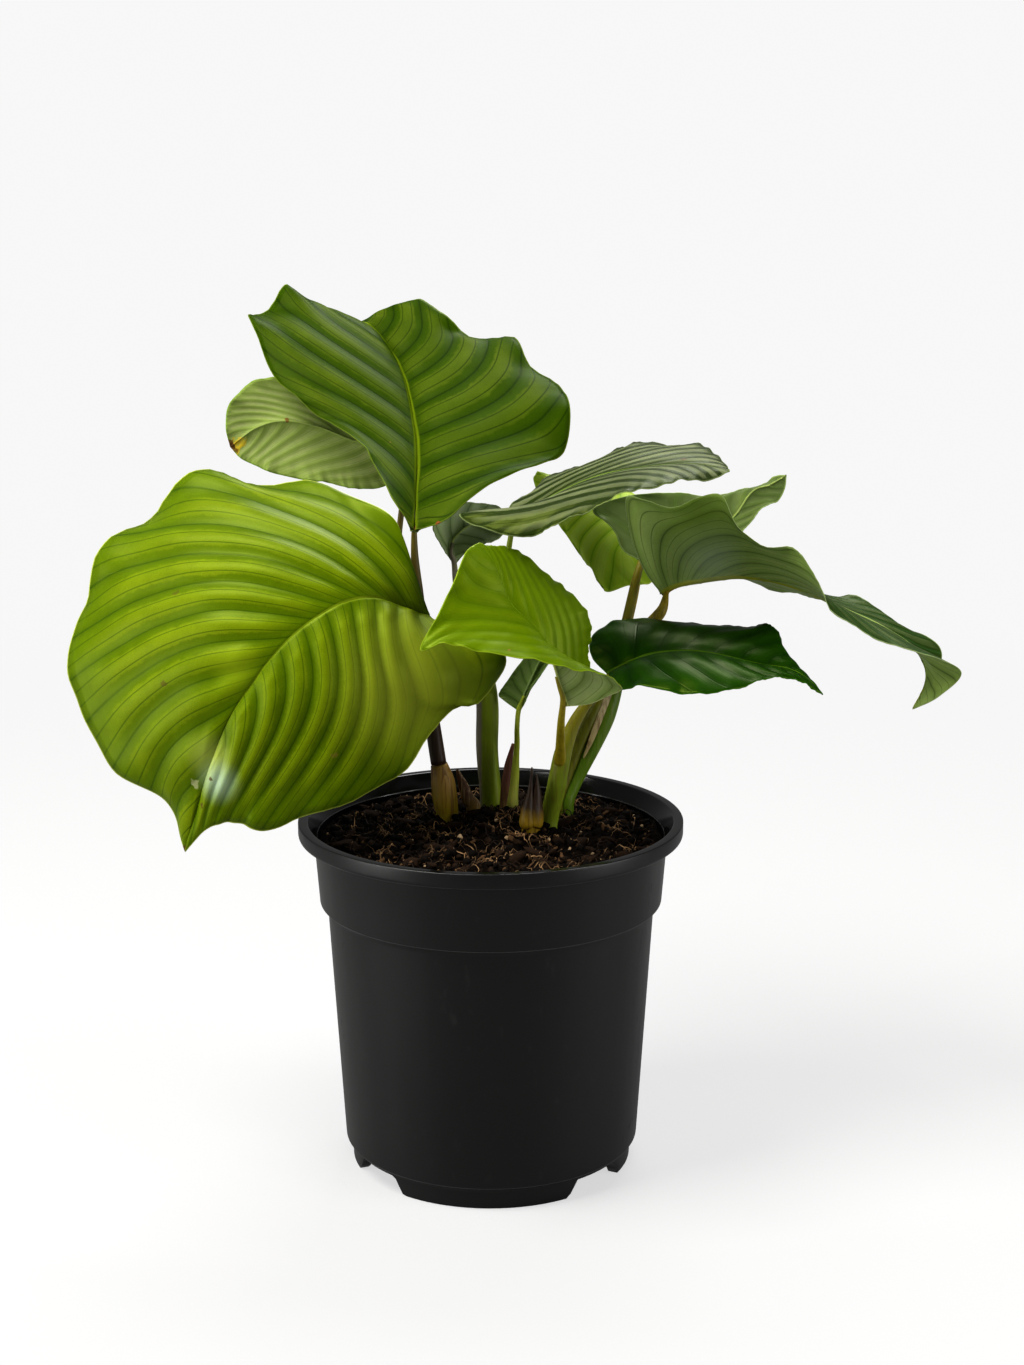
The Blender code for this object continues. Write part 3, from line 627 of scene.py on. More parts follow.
def leaf_grid(leaf, bands, curl, sweep, quilt, flutter, midrib_width, seed):
    """The leaf's middle surface as a grid, with its normals, vein coordinates and distances."""
    times = np.linspace(0, 1, LEAF_ROWS + 1)
    shares = times - waves(times) / (2 * math.pi) * 0.5
    reaches = np.linspace(0, 1, LEAF_COLUMNS + 1) ** 1.45
    left = leaf.half(-1, shares, reaches)[:, ::-1]
    right = leaf.half(1, shares, reaches)
    grid = np.concatenate([left, right[:, 1:]], axis=1)
    across = np.concatenate([-reaches[::-1], reaches[1:]])
    reach = np.abs(across)[None, :]
    share = shares[:, None]
    eased = np.minimum(0.5, 4 * reach * (1 - reach) ** 2)[..., None]
    for _ in range(EASING):
        grid[1:-1] += eased * ((grid[:-2] + grid[2:]) / 2 - grid[1:-1])
    normals = unit(np.cross(np.gradient(grid, axis=1), np.gradient(grid, axis=0)))
    shift = np.where(across < 0, curl[0] * reach[0] ** sweep[0], curl[1] * reach[0] ** sweep[1])
    veins = share - shift[None, :] * np.sin(math.pi * share)
    phase = veins * bands + np.where(across < 0, LEFT_OFFSET, 0.0)[None, :]
    ends = np.sin(math.pi * share) ** 0.5
    inside = np.clip(reach / 0.12, 0, 1) * np.clip((1 - reach) / 0.22, 0, 1)
    puff = quilt * (np.sin(math.pi * phase) ** 2) ** 0.8 * ends * inside
    start = seed * 1.7
    x, y, z = np.moveaxis(grid, 2, 0)
    slow = np.sin(0.11 * x + 0.07 * z + start) * np.sin(0.09 * z - 0.05 * y)
    edge = waves(EDGE_WAVES * share + 0.7 * np.sin(5 * share + start)) * reach**5 * ends
    quick = waves(QUICK_WAVES * share + 1.1 * np.sin(9 * share + start)) * reach**9 * ends
    lift = puff + 0.5 * slow * ends + flutter * (edge + 0.45 * quick)
    grid = grid + normals * lift[..., None]
    distance = np.linalg.norm(grid - grid[:, LEAF_COLUMNS : LEAF_COLUMNS + 1], axis=2)
    width = np.where(across < 0, distance[:, :1], distance[:, -1:])
    rib = midrib_width * (0.16 + 0.84 * (1 - share) ** 0.9)
    return grid, normals, veins, phase, across, distance, width - distance, rib


def make_leaf(name, node, leaf, upper, under, bands=9, curl=(0.22, 0.22), sweep=(1.2, 1.2), quilt=0.7,
              flutter=0.5, midrib_width=1.9):
    """A leaf as one closed piece: its upper face, its underside with standing ribs, and its thin rim."""
    made = leaf_grid(leaf, bands, curl, sweep, quilt, flutter, midrib_width, len(name))
    grid, normals, veins, phase, across, distance, from_margin, rib = made
    reach = np.abs(across)[None, :]
    ridge = np.exp(-((distance / rib) ** 2))
    trough = np.exp(-((distance / (0.45 * rib)) ** 2))
    thick = LEAF_THICKNESS * (1 - 0.45 * reach**6)
    side_rib = (1 - np.abs(np.sin(math.pi * phase))) ** 6 * np.clip(1 - reach, 0, 1) * 0.25
    above = grid + normals * (thick / 2 + 0.30 * rib * ridge - 0.42 * rib * trough)[..., None]
    below = grid - normals * (thick / 2 + 0.55 * rib * ridge + side_rib)[..., None]
    rows, count = grid.shape[:2]
    body = count * (rows - 2)
    poles = [above[0, LEAF_COLUMNS], below[0, LEAF_COLUMNS], above[-1, LEAF_COLUMNS], below[-1, LEAF_COLUMNS]]
    points = np.concatenate([above[1:-1].reshape(-1, 3), below[1:-1].reshape(-1, 3), poles])

    def corner(row, column, face):
        """A point's number, with the places of its texture values."""
        if row == 0 or row == rows - 1:
            return 2 * body + (0 if row == 0 else 2) + face, row, column
        return face * body + (row - 1) * count + column, row, column

    corners = []
    slots = []
    for row in range(rows - 1):
        for column in range(count - 1):
            square = [(row, column), (row, column + 1), (row + 1, column + 1), (row + 1, column)]
            if row == 0:
                square.pop(1)
            if row == rows - 2:
                square.pop(-1)
            corners.append([corner(*place, 0) for place in square])
            corners.append([corner(*place, 1) for place in reversed(square)])
            slots += [0, 1]
        for column, turned_round in ((0, False), (count - 1, True)):
            places = [(row, column, 0), (row + 1, column, 0), (row + 1, column, 1), (row, column, 1)]
            square = [corner(*place) for place in places]
            corners.append(square[::-1] if turned_round else square)
            slots.append(0)
    faces = [[place[0] for place in face] for face in corners]
    used = np.array([(place[1], place[2]) for face in corners for place in face])
    in_row, in_column = used[:, 0], used[:, 1]
    vein_map = np.stack([veins[in_row, in_column], across[in_column]], axis=1)
    in_ribs = distance[in_row, in_column] / rib[in_row, 0]
    span_map = np.stack([in_ribs, from_margin[in_row, in_column]], axis=1)
    sides = (("upper", upper), ("under", under))
    materials = [leaf_material(name + " " + label, leaf, bands, **look) for label, look in sides]
    piece = add_piece(name, points, faces, materials, slots, {"vein": vein_map, "span": span_map})
    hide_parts(node)


# The leaf's tissue
# Two effects that all the leaves share: the banded tissue with its veins, midrib and rim, and a painted shade
# along its main vein creases; and a soft-edged spot for a flaw, a bruise, a dried patch or a painted
# highlight.

TISSUE_COLOURS = ("Field", "Band", "Vein", "Midrib", "Rim")
TISSUE_VALUES = ("Bands", "Band share", "Fine veins", "Tip fade", "Rim width")
CELLS = 1300.0
SOFT_FROM = 5.0


def new_group(name, inputs, outputs):
    """A node group with named sockets. Returns the group, its given wires and the node of its results."""
    group = bpy.data.node_groups.new(name, "ShaderNodeTree")
    for way, sockets in (("INPUT", inputs), ("OUTPUT", outputs)):
        for label, kind in sockets.items():
            group.interface.new_socket(label, in_out=way, socket_type="NodeSocket" + kind)
    given = group.nodes.new("NodeGroupInput").outputs
    return group, {label: Wire(group, given[label]) for label in inputs}, group.nodes.new("NodeGroupOutput")


def effect(tree, group, inputs):
    """Adds a node group to a material, and gives the wires from its outputs in their order."""
    first = wire(tree, "Group", 0, inputs, node_tree=group)
    return [Wire(tree, output) for output in first.socket.node.outputs]


def shaded(colour, tone):
    """A colour multiplied by a tone."""
    inputs = {0: 1.0, 6: colour, 7: tone}
    return wire(colour.tree, "Mix", 2, inputs, data_type="RGBA", blend_type="MULTIPLY")


def crossed(phase, count, low, high):
    """A mask of the veins, with a count of them to each band."""
    return smooth_step(abs((phase * (count * math.pi)).step("SINE")), low, high)


tissue, given, result = new_group(
    "Leaf tissue",
    dict.fromkeys(TISSUE_COLOURS, "Color") | dict.fromkeys(TISSUE_VALUES, "Float"),
    {"Color": "Color", "Roughness": "Float", "Height": "Float"},
)
vein_map, span_map = (wire(tissue, "UVMap", 0, uv_map=label) for label in ("vein", "span"))
vein_share, across = (wire(tissue, "SeparateXYZ", axis, {0: vein_map}) for axis in range(2))
from_midrib, from_margin = (wire(tissue, "SeparateXYZ", axis, {0: span_map}) for axis in range(2))
reach = abs(across)
phase = vein_share * given["Bands"] + across.step("LESS_THAN") * LEFT_OFFSET
wandering = phase + (mottle(tissue, 45, 3) - 0.5) * 0.22
between = abs((wandering * math.pi).step("SINE"))
band = smooth_step(between + (mottle(tissue, 260, 5) - 0.5) * 0.40, 0.58, 0.80)
band_place = wire(tissue, "CombineXYZ", 0, {0: phase * 0.9, 1: reach * 1.2})
uneven = smooth_step(clouds(band_place, 1.0), 0.30, 0.62)
patchy = smooth_step(mottle(tissue, 24, 3), 0.30, 0.62) * uneven
toward_tip = over(given["Tip fade"], (1, 1, 1), smooth_step(vein_share, 1.0, 0.75))
band = band * smooth_step(reach, 0.01, 0.10) * smooth_step(reach, 0.98, 0.80) * toward_tip
band = band * (patchy * 0.55 + 0.45) * given["Band share"]
colour = over(band, given["Field"], given["Band"])
fine = crossed(phase, 3, 0.26, 0.03) * given["Fine veins"]
main = crossed(phase, 1, 0.13, 0.02)
# A wide band of painted shade along each main vein crease, laid on in the vein colour.
crease_shade = crossed(phase, 1, 0.55, 0.0)
cell_place = {"Scale": CELLS, "Vector": wire(tissue, "TexCoord", "Object")}
cells = wire(tissue, "TexVoronoi", "Distance", cell_place, feature="DISTANCE_TO_EDGE")
furrows = main.step("MAXIMUM", fine)
lines = furrows.step("MAXIMUM", smooth_step(cells, 0.10, 0.0) * given["Fine veins"] * 0.35)
colour = over(crease_shade * 0.38, colour, given["Vein"])
colour = over(lines * 0.75, colour, given["Vein"])
hatch_place = wire(tissue, "CombineXYZ", 0, {0: phase * 1.6, 1: reach * 75.0})
cloud = mottle(tissue, 90, 5) * 0.65 + clouds(hatch_place, 3.0, 0.7) * 0.35
colour = shaded(colour, cloud * 0.5 + 0.75)
colour = over(smooth_step(from_midrib, 1.05, 0.55), colour, given["Midrib"])
on_rim = smooth_step(from_margin, given["Rim width"], given["Rim width"] * 0.3)
colour = over(on_rim * 0.85, colour, given["Rim"])
relief = mottle(tissue, 70, 1) * 0.5 - furrows * 0.6 - main * 0.8
set_inputs(result, color=colour, roughness=cloud * 0.09 + 0.33 + band * 0.10, height=relief)

# A soft-edged spot mask, used for real marks on the leaves and also for painted highlights.
blemish_and_highlight, given, result = new_group(
    "Leaf blemish", {"Centre": "Vector", "Radius": "Float", "Soft": "Float"}, {"Mask": "Float"}
)
place = wire(blemish_and_highlight, "TexCoord", "Object")
ragged = clouds(place, 5.0, scale=450.0) * 2.6 + -0.4
even = blend(given["Soft"], ragged, 1.0)
gone = wire(blemish_and_highlight, "VectorMath", "Value", {0: place, 1: given["Centre"]}, operation="DISTANCE")
near = gone.step("DIVIDE", given["Radius"] * even)
set_inputs(result, mask=smooth_step(near, 1.15, given["Soft"] * -0.75 + 0.75))


def leaf_material(name, leaf, bands, field, band, vein, midrib, rim, share=0.6, fine=0.3, tip_fade=0.5,
                  rim_width=0.8, roughness=0.0, gloss=0.2, glow=0.12, spots=()):
    """One face of a leaf. spots are (share, across, radius in mm, colour, strength)."""
    material, tree, shader = new_material(
        name, subsurface_weight=glow, subsurface_radius=(0.8, 1.0, 0.25), subsurface_scale=1.6 * MM,
        specular_ior_level=gloss, specular_tint=(0.80, 1.0, 0.10),
    )
    inputs = dict(zip(TISSUE_COLOURS, (field, band, vein, midrib, rim)))
    inputs |= dict(zip(TISSUE_VALUES, (bands, share, fine, tip_fade, rim_width)))
    colour, roughened, relief = effect(tree, tissue, inputs)
    # Each spot lays a real mark or a painted highlight over the colour.
    for at_share, at_across, radius, spot_colour, strength in spots:
        centre = leaf.at(at_share, at_across) * MM
        spot = {"Centre": tuple(centre), "Radius": radius * MM, "Soft": float(radius > SOFT_FROM)}
        colour = over(effect(tree, blemish_and_highlight, spot)[0] * strength, colour, spot_colour)
    set_inputs(shader, base_color=colour, roughness=roughened + roughness)
    bump(shader, relief, 0.14, 0.0004)
    return material


DRIED = (0.24, 0.13, 0.04)
SCORCHED = (0.07, 0.03, 0.012)
BLEACHED = (0.52, 0.50, 0.30)

# The large leaf at the left front
# The newest and palest leaf, bright yellow-green, hanging steeply from a twisted base with a pointed tip. Its
# bands are puffed up, and paler and more silvery toward the tip, where two pale patches are painted
# highlights.

front_large = Leaf(
    midrib=[
        (-29, -8, 278), (-41, -15, 284), (-54, -22, 290), (-68, -28, 289), (-82, -33, 282),
        (-95, -37, 272), (-110, -40, 254), (-127, -41, 226), (-147, -31, 167),
    ],
    left=[
        (-21, -11, 274), (-6, -14, 268), (8, -17, 259), (-4, -23, 240), (-15, -26, 238), (-29, -30, 225),
        (-42, -34, 207), (-67, -38, 194), (-85, -41, 189), (-106, -42, 181), (-118, -41, 184),
        (-128, -40, 184), (-137, -37, 179),
    ],
    right=[
        (-37, -4, 300), (-46, 2, 324), (-68, 16, 333), (-90, 27, 340), (-111, 33, 335), (-129, 37, 341),
        (-149, 38, 341), (-169, 32, 321), (-190, 24, 308), (-199, 15, 282), (-206, 4, 256),
        (-200, -6, 233), (-182, -17, 204), (-156, -26, 191),
    ],
    dome=0.10, bow=0.28, ripple=1.6, ripples=7,
)
make_leaf(
    "leaf_front_large", "blade_front_large", front_large, bands=10, curl=(0.36, 0.40),
    sweep=(1.4, 0.7), quilt=2.4, midrib_width=1.5,
    upper=dict(
        field=(0.084, 0.134, 0.0004), band=(0.17, 0.226, 0.003), vein=(0.026, 0.062, 0.0005),
        midrib=(0.15, 0.21, 0.008), rim=(0.4, 0.46, 0.08), share=0.8, fine=1.0, tip_fade=0.0,
        spots=[
            (0.32, -0.62, 44.0, (0.30, 0.33, 0.035), 0.55), (0.18, -0.35, 22.0, (0.24, 0.28, 0.03), 0.30),
            (0.66, 0.56, 1.8, SCORCHED, 0.45), (0.81, 0.52, 1.6, SCORCHED, 0.6),
            # The next two spots near the tip, pale yellow-white by the midrib and bluish-white on the left
            # half, are painted highlights.
            (0.90, -0.02, 14.0, (0.42, 0.48, 0.12), 0.50), (0.890, -0.62, 12.0, (0.42, 0.55, 0.42), 0.60),
            (0.93, 0.22, 2.5, BLEACHED, 0.4), (0.935, -0.56, 1.6, SCORCHED, 0.8),
            (0.91, -0.40, 1.0, SCORCHED, 0.8), (0.75, 0.10, 14.0, (0.24, 0.32, 0.01), 0.5),
            (0.995, 0.7, 1.6, SCORCHED, 0.8), (0.10, -0.03, 1.2, SCORCHED, 0.6),
            (0.18, -0.40, 1.0, SCORCHED, 0.7), (0.61, -0.74, 2.0, DRIED, 0.4),
        ],
    ),
    under=dict(
        field=(0.22, 0.32, 0.05), band=(0.32, 0.42, 0.12), vein=(0.14, 0.22, 0.03),
        midrib=(0.36, 0.42, 0.1), rim=(0.45, 0.52, 0.16),
    ),
)

# The leaf that rises at the back
# A full-grown leaf, deep green with pale grey-green bands. It leans back, cupped along a strong yellow-green
# midrib, and its tip curls over.

top = Leaf(
    midrib=[
        (-37, 10, 317), (-37, 28, 330), (-37, 56, 351), (-40, 76, 366), (-45, 98, 382), (-53, 118, 395),
        (-68, 141, 409), (-81, 160, 402),
    ],
    left=[
        (-46, 12, 330), (-57, 32, 347), (-66, 46, 356), (-84, 62, 366), (-98, 74, 374), (-111, 86, 385),
        (-121, 104, 403), (-128, 120, 414), (-119, 129, 416), (-110, 138, 428), (-102, 142, 422),
        (-94, 146, 417), (-86, 152, 411),
    ],
    right=[
        (-22, 4, 323), (0, 20, 339), (24, 34, 346), (36, 46, 351), (40, 62, 369), (35, 78, 381),
        (20, 92, 390), (11, 110, 403), (-10, 118, 403), (-24, 126, 413), (-39, 138, 422), (-53, 142, 417),
        (-67, 150, 410),
    ],
    dome=0.08, bow=0.15, ripple=1.4, ripples=6,
)
make_leaf(
    "leaf_top", "blade_top", top, bands=9, curl=(0.2, 0.2), sweep=(1.0, 2.0), quilt=1.1,
    midrib_width=3.4,
    upper=dict(
        field=(0.027, 0.056, 0.0003), band=(0.07, 0.102, 0.005), vein=(0.006, 0.02, 0.0003),
        midrib=(0.12, 0.17, 0.005), rim=(0.13, 0.18, 0.02), share=0.9, fine=1.0, tip_fade=0.0, gloss=0.05,
        roughness=0.05,
        spots=[
            (0.06, 0.97, 1.4, (0.20, 0.05, 0.02), 0.8), (0.265, -0.34, 0.9, DRIED, 0.5),
            (0.01, 0.2, 1.2, DRIED, 0.7),
        ],
    ),
    under=dict(
        field=(0.12, 0.17, 0.05), band=(0.18, 0.24, 0.09), vein=(0.07, 0.11, 0.03),
        midrib=(0.24, 0.3, 0.06), rim=(0.26, 0.32, 0.14),
    ),
)

# The leaf behind those two
# An older leaf that turns its pale grey-green underside to the front. The edge of its tip has dried yellow
# and brown.

back_left = Leaf(
    midrib=[
        (-47, 84, 345), (-60, 88, 349), (-73, 92, 352), (-89, 96, 358), (-108, 99, 361), (-123, 101, 357),
        (-137, 103, 347),
    ],
    left=[
        (-43, 95, 357), (-50, 104, 371), (-74, 108, 382), (-97, 108, 388), (-114, 106, 383),
        (-125, 105, 381), (-133, 104, 374), (-138, 104, 367), (-139, 103, 357),
    ],
    right=[
        (-49, 84, 335), (-57, 86, 328), (-69, 88, 327), (-78, 90, 328), (-87, 92, 330), (-99, 94, 331),
        (-114, 97, 334), (-122, 99, 337), (-131, 101, 341),
    ],
    dome=0.08, bow=0.15, ripple=1.0, ripples=5,
)
make_leaf(
    "leaf_back_left", "blade_back_left", back_left, bands=9, curl=(0.5, 0.5), quilt=0.4,
    midrib_width=0.8,
    upper=dict(
        field=(0.06, 0.15, 0.02), band=(0.19, 0.28, 0.14), vein=(0.03, 0.09, 0.01),
        midrib=(0.26, 0.33, 0.10), rim=(0.24, 0.30, 0.10), roughness=0.08,
    ),
    under=dict(
        field=(0.2, 0.26, 0.065), band=(0.34, 0.38, 0.16), vein=(0.14, 0.19, 0.045),
        midrib=(0.22, 0.28, 0.08), rim=(0.16, 0.26, 0.03), share=0.7, fine=1.0, gloss=0.1, roughness=0.08,
        spots=[
            (0.65, -0.03, 1.8, (0.14, 0.04, 0.015), 0.8), (0.97, 0.55, 4.0, (0.42, 0.30, 0.02), 0.9),
            (0.93, 0.25, 3.0, (0.42, 0.30, 0.02), 0.7), (0.985, -0.75, 2.6, SCORCHED, 0.9),
            (0.99, 0.5, 2.2, SCORCHED, 0.9), (0.96, 0.9, 1.8, SCORCHED, 0.8),
        ],
    ),
)

# The small leaf in front
# Bright yellow-green and thinner than the others, twisted at its base so that a pale lobe of its underside
# shows below.

centre_small = Leaf(
    midrib=[
        (37, -30, 239), (33, -32, 250), (30, -34, 261), (26, -34, 271), (19, -33, 280), (10, -32, 289),
        (6, -30, 299), (2, -28, 308), (-5, -26, 317),
    ],
    left=[
        (47, -34, 241), (56, -38, 246), (62, -43, 251), (51, -52, 260), (38, -58, 263), (19, -60, 268),
        (-4, -58, 272), (-20, -54, 274), (-32, -52, 271), (-23, -46, 288), (-16, -40, 303),
        (-11, -34, 314),
    ],
    right=[
        (43, -20, 245), (48, -14, 253), (47, -12, 262), (49, -10, 269), (46, -10, 281), (37, -10, 292),
        (26, -12, 300), (16, -14, 310), (7, -18, 314), (0, -22, 315),
    ],
    dome=0.06, bow=0.0, ripple=0.6, ripples=5,
)
make_leaf(
    "leaf_centre_small", "blade_centre_small", centre_small, bands=8, quilt=0.45,
    curl=(0.5, 0.75), midrib_width=1.1,
    upper=dict(
        field=(0.092, 0.15, 0.0004), band=(0.15, 0.215, 0.0015), vein=(0.07, 0.125, 0.0004),
        midrib=(0.13, 0.21, 0.006), rim=(0.22, 0.3, 0.02), share=0.3, fine=0.7, glow=0.2, gloss=0.3,
        spots=[(0.12, -0.6, 1.6, DRIED, 0.6), (0.5, -0.85, 1.0, DRIED, 0.6)],
    ),
    under=dict(
        field=(0.2, 0.26, 0.09), band=(0.29, 0.34, 0.15), vein=(0.09, 0.13, 0.03),
        midrib=(0.38, 0.42, 0.14), rim=(0.40, 0.44, 0.20), fine=0.9,
    ),
)

# The dark leaf at the right
# The glossiest leaf, very dark green with a light midrib, nearly level, with a drawn-out tip.

right_dark = Leaf(
    midrib=[
        (57, 5, 247), (68, 4, 253), (80, 2, 258), (97, 0, 259), (114, -2, 257), (131, -4, 254),
        (145, -6, 252), (154, -8, 247), (161, -10, 240),
    ],
    left=[
        (50, 16, 253), (50, 26, 261), (61, 34, 267), (77, 36, 269), (99, 34, 266), (119, 30, 266),
        (134, 26, 268), (141, 20, 266), (145, 8, 256), (151, -1, 250), (156, -6, 246),
    ],
    right=[
        (59, -4, 244), (64, -12, 243), (74, -22, 247), (90, -30, 246), (104, -32, 245), (119, -28, 248),
        (131, -21, 250), (142, -15, 250), (150, -13, 247), (156, -12, 243),
    ],
    dome=0.10, bow=0.2, ripple=0.8, ripples=5,
)
make_leaf(
    "leaf_right_dark", "blade_right_dark", right_dark, bands=10, quilt=0.5,
    midrib_width=1.3,
    upper=dict(
        field=(0.008, 0.04, 0.0003), band=(0.02, 0.078, 0.0008), vein=(0.004, 0.026, 0.002),
        midrib=(0.08, 0.16, 0.01), rim=(0.03, 0.1, 0.004), share=0.5, fine=0.5, roughness=-0.06,
        gloss=0.16,
    ),
    under=dict(
        field=(0.12, 0.20, 0.08), band=(0.18, 0.26, 0.13), vein=(0.08, 0.13, 0.05),
        midrib=(0.26, 0.36, 0.10), rim=(0.16, 0.24, 0.08),
    ),
)

# The silver-striped leaf seen edge on
# A full-grown leaf that reaches to the right above the others, with strong silver stripes along its veins.

right_upper = Leaf(
    midrib=[
        (8, 8, 320), (21, 6, 329), (36, 4, 337), (53, 2, 345), (74, 0, 349), (95, -2, 351), (114, -6, 348),
    ],
    left=[
        (10, 18, 329), (18, 26, 333), (29, 32, 340), (42, 36, 345), (54, 38, 348), (64, 40, 354),
        (73, 40, 357), (89, 36, 354), (101, 30, 358), (108, 18, 354), (113, 4, 350),
    ],
    right=[
        (-14, -2, 327), (-8, -12, 323), (7, -22, 320), (24, -28, 322), (39, -32, 330), (55, -34, 338),
        (72, -34, 343), (87, -30, 347), (102, -18, 345),
    ],
    dome=0.08, bow=0.28, ripple=1.0, ripples=5,
)
make_leaf(
    "leaf_right_upper", "blade_right_upper", right_upper, bands=5, quilt=0.4,
    curl=(1.3, 1.3), sweep=(0.6, 0.6), midrib_width=1.5,
    upper=dict(
        field=(0.018, 0.03, 0.005), band=(0.145, 0.165, 0.08), vein=(0.008, 0.018, 0.002),
        midrib=(0.1, 0.15, 0.03), rim=(0.18, 0.22, 0.09), share=0.95, tip_fade=0.0, gloss=0.15,
        spots=[(0.81, -0.14, 1.4, SCORCHED, 0.8)],
    ),
    under=dict(
        field=(0.14, 0.20, 0.10), band=(0.22, 0.28, 0.17), vein=(0.08, 0.13, 0.05),
        midrib=(0.25, 0.32, 0.12), rim=(0.24, 0.30, 0.14), gloss=0.1,
    ),
)

# The long drooping leaf
# It turns its dark grey-green underside to the front, then twists once and hangs, so that a narrow strip of
# its silvery upper face shows before the ragged tip.

right_long = Leaf(
    midrib=[
        (86, 48, 279), (91, 47, 282), (97, 46, 284), (105, 44, 286), (120, 41, 289), (137, 37, 288),
        (157, 33, 283), (176, 29, 275), (198, 24, 265), (218, 19, 248), (209, 14, 227),
    ],
    left=[
        (96, 58, 282), (107, 66, 286), (120, 70, 286), (134, 68, 281), (153, 62, 277), (167, 55, 275),
        (184, 46, 278), (205, 36, 266), (225, 27, 253),
    ],
    right=[
        (79, 42, 289), (71, 40, 305), (67, 44, 328), (77, 47, 327), (91, 47, 323), (104, 44, 329),
        (115, 40, 330), (122, 32, 316), (135, 25, 308), (148, 20, 307), (157, 16, 296), (163, 13, 286),
        (168, 10, 277), (178, 7, 270), (190, 4, 264), (202, 1, 261), (218, 0, 255), (230, 2, 248),
        (221, 8, 235),
    ],
    dome=0.06, bow=0.1, ripple=0.8, ripples=6,
)
make_leaf(
    "leaf_right_long", "blade_right_long", right_long, bands=12, quilt=0.5,
    curl=(0.35, 0.35), midrib_width=2.2, flutter=0.3,
    upper=dict(
        field=(0.016, 0.036, 0.005), band=(0.075, 0.105, 0.035), vein=(0.03, 0.08, 0.02),
        midrib=(0.26, 0.33, 0.10), rim=(0.28, 0.34, 0.16), share=0.9, gloss=0.12,
    ),
    under=dict(
        field=(0.185, 0.26, 0.07), band=(0.26, 0.325, 0.115), vein=(0.055, 0.08, 0.025),
        midrib=(0.24, 0.26, 0.03), rim=(0.2, 0.25, 0.1), fine=0.9, gloss=0.1,
        spots=[
            (0.34, 0.25, 20.0, (0.29, 0.34, 0.27), 0.45), (0.30, 0.85, 24.0, (0.17, 0.27, 0.02), 0.4),
            (0.9, 0.5, 2.0, DRIED, 0.5),
        ],
    ),
)

# The leaf with the raised tip
# It stands behind the drooping leaf, its grey-green underside showing with one light midrib line.

right_back = Leaf(
    midrib=[
        (75, 62, 294), (84, 66, 297), (97, 72, 300), (112, 78, 305), (125, 82, 313), (135, 86, 326),
        (144, 88, 329), (153, 90, 334),
    ],
    left=[
        (86, 60, 293), (101, 62, 296), (114, 66, 301), (125, 72, 305), (131, 76, 309), (140, 80, 318),
        (148, 84, 321), (152, 88, 327),
    ],
    right=[
        (67, 64, 299), (62, 68, 309), (52, 74, 318), (64, 80, 323), (81, 84, 325), (98, 88, 325),
        (115, 90, 323), (130, 92, 326), (141, 92, 329), (147, 92, 333),
    ],
    dome=0.06, bow=0.15, ripple=0.6, ripples=4,
)
make_leaf(
    "leaf_right_back", "blade_right_back", right_back, bands=9, quilt=0.4,
    midrib_width=1.2, flutter=0.3,
    upper=dict(
        field=(0.05, 0.14, 0.02), band=(0.20, 0.28, 0.14), vein=(0.03, 0.09, 0.01),
        midrib=(0.24, 0.31, 0.10), rim=(0.22, 0.28, 0.10),
    ),
    under=dict(
        field=(0.085, 0.12, 0.035), band=(0.125, 0.165, 0.06), vein=(0.08, 0.13, 0.03),
        midrib=(0.28, 0.35, 0.1), rim=(0.25, 0.33, 0.12), gloss=0.1,
    ),
)

# The bright leaf farthest back
# Thin and young, yellow-green, with the light coming through it.

back_bright = Leaf(
    midrib=[(79, 100, 292), (70, 104, 300), (60, 110, 310), (49, 116, 318), (36, 122, 326), (24, 128, 331)],
    left=[
        (87, 94, 285), (83, 90, 277), (71, 88, 276), (59, 88, 273), (56, 94, 281), (47, 102, 289),
        (36, 110, 304), (28, 118, 314), (22, 126, 326),
    ],
    right=[(86, 108, 300), (87, 118, 311), (79, 126, 317), (63, 132, 325), (46, 134, 329), (33, 131, 328)],
    dome=0.08, bow=0.2, ripple=1.0, ripples=5,
)
make_leaf(
    "leaf_back_bright", "blade_back_bright", back_bright, bands=9, quilt=0.6,
    midrib_width=1.2,
    upper=dict(
        field=(0.3, 0.41, 0.035), band=(0.4, 0.5, 0.11), vein=(0.12, 0.25, 0.006),
        midrib=(0.45, 0.58, 0.14), rim=(0.40, 0.52, 0.12), glow=0.3, roughness=0.08,
    ),
    under=dict(
        field=(0.26, 0.38, 0.04), band=(0.36, 0.46, 0.11), vein=(0.14, 0.25, 0.03),
        midrib=(0.42, 0.52, 0.18), rim=(0.36, 0.46, 0.14), glow=0.3, roughness=0.08,
    ),
)

# The curled leaf at the centre
# A small grey-green leaf rolled up behind the silver-striped one, dark outside with a pale roll at its top.

centre_curled = Leaf(
    midrib=[(-18, 34, 296), (-20, 34, 304), (-17, 34, 311), (-9, 35, 317), (1, 37, 320), (9, 40, 320)],
    left=[(-13, 33, 302), (-10, 28, 305), (-5, 25, 308), (2, 25, 310), (8, 29, 315)],
    right=[(-24, 32, 305), (-29, 32, 315), (-25, 36, 323), (-17, 42, 326), (-7, 46, 326), (3, 46, 324)],
    dome=0.08, bow=0.1, ripple=0.5, ripples=3,
)
make_leaf(
    "leaf_centre_curled", "blade_centre_curled", centre_curled, bands=6, quilt=0.3,
    midrib_width=1.0, flutter=0.2,
    upper=dict(
        field=(0.06, 0.15, 0.02), band=(0.16, 0.24, 0.12), vein=(0.03, 0.09, 0.01),
        midrib=(0.24, 0.31, 0.10), rim=(0.20, 0.26, 0.10),
    ),
    under=dict(
        field=(0.28, 0.35, 0.18), band=(0.42, 0.48, 0.32), vein=(0.1, 0.14, 0.06),
        midrib=(0.30, 0.36, 0.12), rim=(0.22, 0.27, 0.13), gloss=0.1,
    ),
)

# The small low leaf
# A stunted leaf low on its own stalk, dark grey-green underneath and folded along its midrib.

